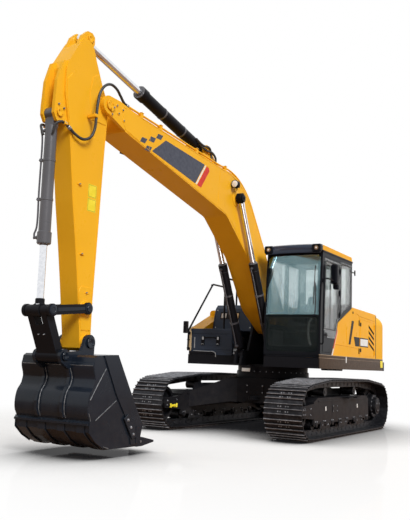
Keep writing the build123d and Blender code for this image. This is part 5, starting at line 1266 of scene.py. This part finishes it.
def dress_tool_box():
    blue, black, bright, cream, pale = forms(
        "upper_structure", tool_box_lid="tool_blue", tool_box_fittings="black",
        tool_box_latches="bare/rod_chrome", tool_box_edges="cream", cover_opening_back="pale_plate")
    x = 680
    for low, high, edge in (        # lid, front, top and the pressed field
            ((x - 3, -1352, 1606), (x + 8, -488, 1692), 4), ((x - 3, -1350, 1330), (x + 5, -490, 1590), 3),
            ((360, -1340, 1688), (x + 4, -500, 1698), 3), ((x + 3, -1130, 1392), (x + 9, -700, 1572), 3)):
        blue.block(low, high, edge)
    black.tube([(x + 5, -1010, 1528), (x + 28, -1006, 1536), (x + 32, -910, 1540), (x + 28, -814, 1536),
                (x + 5, -810, 1528)], 11, 10)
    for y in (-1066, -758):
        black.block((x + 6, y - 34, 1404), (x + 20, y + 34, 1560), 5)
        bright.block((x + 19, y - 16, 1500), (x + 25, y + 20, 1552), 3)
        bright.tube([(x + 14, y - 24, 1412), (x + 28, y - 18, 1424), (x + 28, y + 18, 1424),
                     (x + 14, y + 24, 1412)], 6, 8)
    # bright metal tube along the step's front edge: a painted highlight
    bright.tube([(x + 22, -1250, 1300), (x + 22, -1000, 1293), (x + 22, -850, 1290), (x + 20, -800, 1270),
                 (x + 18, -790, 1200)], 7, 8)
    bright.block((x + 6, -1250, 1350), (x + 11, -1232, 1540), 2)
    black.block((x - 30, -1350, 1240), (x + 24, -820, 1290), 6)
    # cream strip along the side panel's front edge: a painted highlight, curving in under the tank cover
    cream.block((x - 2, -1362, 1296), (x + 12, -1312, 1640), 5)
    cream.tube([(x + 4, -1337, 1636), (x - 4, -1336, 1690), (x - 60, -1330, 1726)], 17, 10)
    # see-through handle opening in the raised cover, its bolts and its pressed edges
    for form, proud, thick, edge, corners in ((black, 1, 5, 2, box(-950, -556, 1896, 2022)),
                                              (pale, 5, 2, 0, box(-930, -826, 1916, 2002)),
                                              (cream, 5, 2, 0, box(-700, -576, 1916, 2002))):
        form.slab([(cover_x(z) + proud, y, z) for y, z in corners], (thick, 0, 0), edge)
    for y in (-1030, -320):
        for z in (1740, 2060):
            bright.bolt((cover_x(z), y, z), (1, 0, 0.2), 9, 6)
    for y, top in ((-1060, -1050), (-300, -310)):
        blue.tube([(cover_x(z) + 2, across, z) for across, z in ((y, 1720), (y, 1890), (top, 2080))], 7, 8)
    # fuel cap, breather and filler neck
    for place, r in (((-210, -980, 2080), 62), ((-610, -1100, 2110), 48), ((-610, -760, 2110), 30)):
        black.lathe(place, UP, [(r + 8, 0), (r + 8, 8), (r, 12), (r, 44), (r - 8, 50), (r * 0.4, 52)], 26)


def dress_deck():
    """Hoses and fittings beside the boom foot, mirror arm, rail clamps and the plate under the front."""
    hose, metal, black, glass, pale = forms(
        "upper_structure", deck_hoses="rubber", deck_fittings="bare/rod_chrome", deck_brackets="black",
        rail_mirror_glass="mirror", front_blank_plate="pale_plate")
    for lift, y in ((0, -462), (36, -430), (72, -398)):
        hose.tube(side([(180, 1300 + lift), (330, 1440 + lift), (500, 1470 + lift), (600, 1400), (632, 1290)], y),
                  13, 10)
        metal.rod((632, y, 1296), (636, y, 1240), 18)
        metal.lathe((616, y, 1352), (0.3, 0, -1), [(15, 0), (20, 4), (20, 44), (16, 48)], 8)
        metal.rod((196, y, 1318 + lift), (160, y, 1276 + lift), 17)
    for low, high, edge in (
            ((120, -476, 1236), (200, -384, 1400), 8), ((600, -476, 1234), (670, -384, 1262), 6),
            ((800, -196, 962), (836, -24, 1076), 6), ((-200, 1130, 1042), (120, 1230, 1072), 6),
            ((260, 1130, 1042), (560, 1230, 1072), 6), ((752, -1432, 1606), (794, -1345, 1824), 14)):
        black.block(low, high, edge)
    # mirror on the right rail
    black.tube([(737, -1350, 1600), (756, -1362, 1640), (766, -1380, 1700)], 11, 8)
    for z in (1330, 1480, 1620):
        black.block((704, -1368, z), (752, -1334, z + 26), 4)
    for x, z in ((-60, 2552), (-560, 2572)):
        black.lathe((x, -1350, z), UP, [(20, 0), (24, 4), (24, 30), (20, 34)], 14)
    glass.block((748, -1424, 1618), (752.5, -1353, 1812), 1)
    pale.block((835, -188, 972), (840, -32, 1030), 1)


dress_band()
dress_counterweight()
dress_panels()
dress_hood()
dress_tool_box()
dress_deck()
for form in Form.started:
    form.done()


# ---------------------------------------------------------------- stage
FLOOR_HALF, FLOOR_DROP = 60, 0.002
BOUNCE, PAINTED_SHADE = (0.3, 0.15, 0.07), (0.02, 0.02, 0.022)      # what the floor gives back, and the darkest shade painted on it under the machine
EYE, YAW, PITCH, ROLL = (11.901 + SWING_X, 5.556, 1.082), -149.18, 8.43, 2.27


def stage_floor():
    """A pale floor: the camera sees shade painted from ambient occlusion under the machine, fading to white, and a
    faint mirror image.
    """
    mesh = bpy.data.meshes.new("floor")
    mesh.from_pydata([(x, y, 0) for x, y in box(-FLOOR_HALF, FLOOR_HALF, -FLOOR_HALF, FLOOR_HALF)], [], [(0, 1, 2, 3)])
    floor = bpy.data.objects.new("floor", mesh)
    floor.location.z = -FLOOR_DROP
    bpy.context.scene.collection.objects.link(floor)
    s = Shader("pale_floor", Roughness=0.5, Specular_IOR_Level=0.0)
    camera_ray = s.add("LightPath").outputs["Is Camera Ray"]
    # ambient occlusion darkens what the camera sees of the floor: painted contact shade
    contact = s.add("AmbientOcclusion", Distance=2.2, samples=16)
    seen = s.mix(s.map(contact.outputs["AO"], 0.36, 0.94), PAINTED_SHADE, (1.0, 1.0, 1.0))
    s.colour(s.mix(camera_ray, BOUNCE, seen))
    gloss = s.add("BsdfGlossy", Roughness=0.06, Color=(1, 1, 1, 1))
    glow_with_painted_shade = s.add("Emission", (seen, "Color"), Strength=1.0)
    mirror = s.add("MixShader", (s.bsdf.outputs[0], 1), (gloss.outputs[0], 2), Fac=0.13)
    away = s.add("VectorMath", (s.position(), 0), operation="LENGTH")
    fade = s.map(away.outputs["Value"], 3.2, 7.0, 0.45, 1.0)
    pale = s.add("MixShader", (s.times(camera_ray, fade), "Fac"), (mirror.outputs[0], 1), (glow_with_painted_shade.outputs[0], 2))
    s.link(pale.outputs[0], s.nodes["Material Output"].inputs["Surface"])
    mesh.materials.append(s.mat)


def light_world():
    """White where the camera, a reflection or a pane sees it, and a dim warm light for everything else."""
    world = bpy.data.worlds.new("studio")
    bpy.context.scene.world = world
    world.use_nodes = True
    nodes, link = world.node_tree.nodes, world.node_tree.links.new
    shown, lighting = nodes["Background"], nodes.new("ShaderNodeBackground")
    for node, colour, strength in ((shown, (1, 1, 1, 1), 1.0), (lighting, (1.0, 0.9, 0.8, 1), 0.22)):
        node.inputs["Color"].default_value = colour
        node.inputs["Strength"].default_value = strength
    path = nodes.new("ShaderNodeLightPath").outputs
    seen = path["Is Camera Ray"]
    for ray in ("Is Glossy Ray", "Is Transmission Ray"):
        either = nodes.new("ShaderNodeMath")
        either.operation = "MAXIMUM"
        link(seen, either.inputs[0])
        link(path[ray], either.inputs[1])
        seen = either.outputs[0]
    mix = nodes.new("ShaderNodeMixShader")
    for value, socket in ((seen, "Fac"), (lighting.outputs[0], 1), (shown.outputs[0], 2)):
        link(value, mix.inputs[socket])
    link(mix.outputs[0], nodes["World Output"].inputs["Surface"])


def sun(name, direction, strength, angle):
    data = bpy.data.lights.new(name, "SUN")
    data.energy, data.angle = strength, math.radians(angle)
    lamp = bpy.data.objects.new(name, data)
    lamp.rotation_euler = Vector(direction).to_track_quat("-Z", "Y").to_euler()
    lamp.location = (0, 0, 9)
    bpy.context.scene.collection.objects.link(lamp)


def camera():
    yaw, pitch, roll = (math.radians(a) for a in (YAW, PITCH, ROLL))
    forward = Vector((math.cos(yaw) * math.cos(pitch), math.sin(yaw) * math.cos(pitch), math.sin(pitch)))
    right = forward.cross(UP).normalized()
    up = right.cross(forward)
    turned = math.cos(roll) * right + math.sin(roll) * up
    raised = -math.sin(roll) * right + math.cos(roll) * up
    data = bpy.data.cameras.new("camera")
    data.lens, data.sensor_width = 49.97, 36
    data.shift_x, data.shift_y = 0.0035, -0.0075
    data.clip_end = 300
    view = bpy.data.objects.new("camera", data)
    view.matrix_world = Matrix((*zip(turned, raised, -forward, EYE), (0, 0, 0, 1)))
    bpy.context.scene.collection.objects.link(view)
    bpy.context.scene.camera = view


stage_floor()
light_world()
sun("key", (-0.42, -0.68, -0.58), 2.9, 24)
sun("top", (-0.05, -0.1, -1.0), 0.7, 70)
camera()
bpy.context.scene.view_settings.view_transform = "Standard"
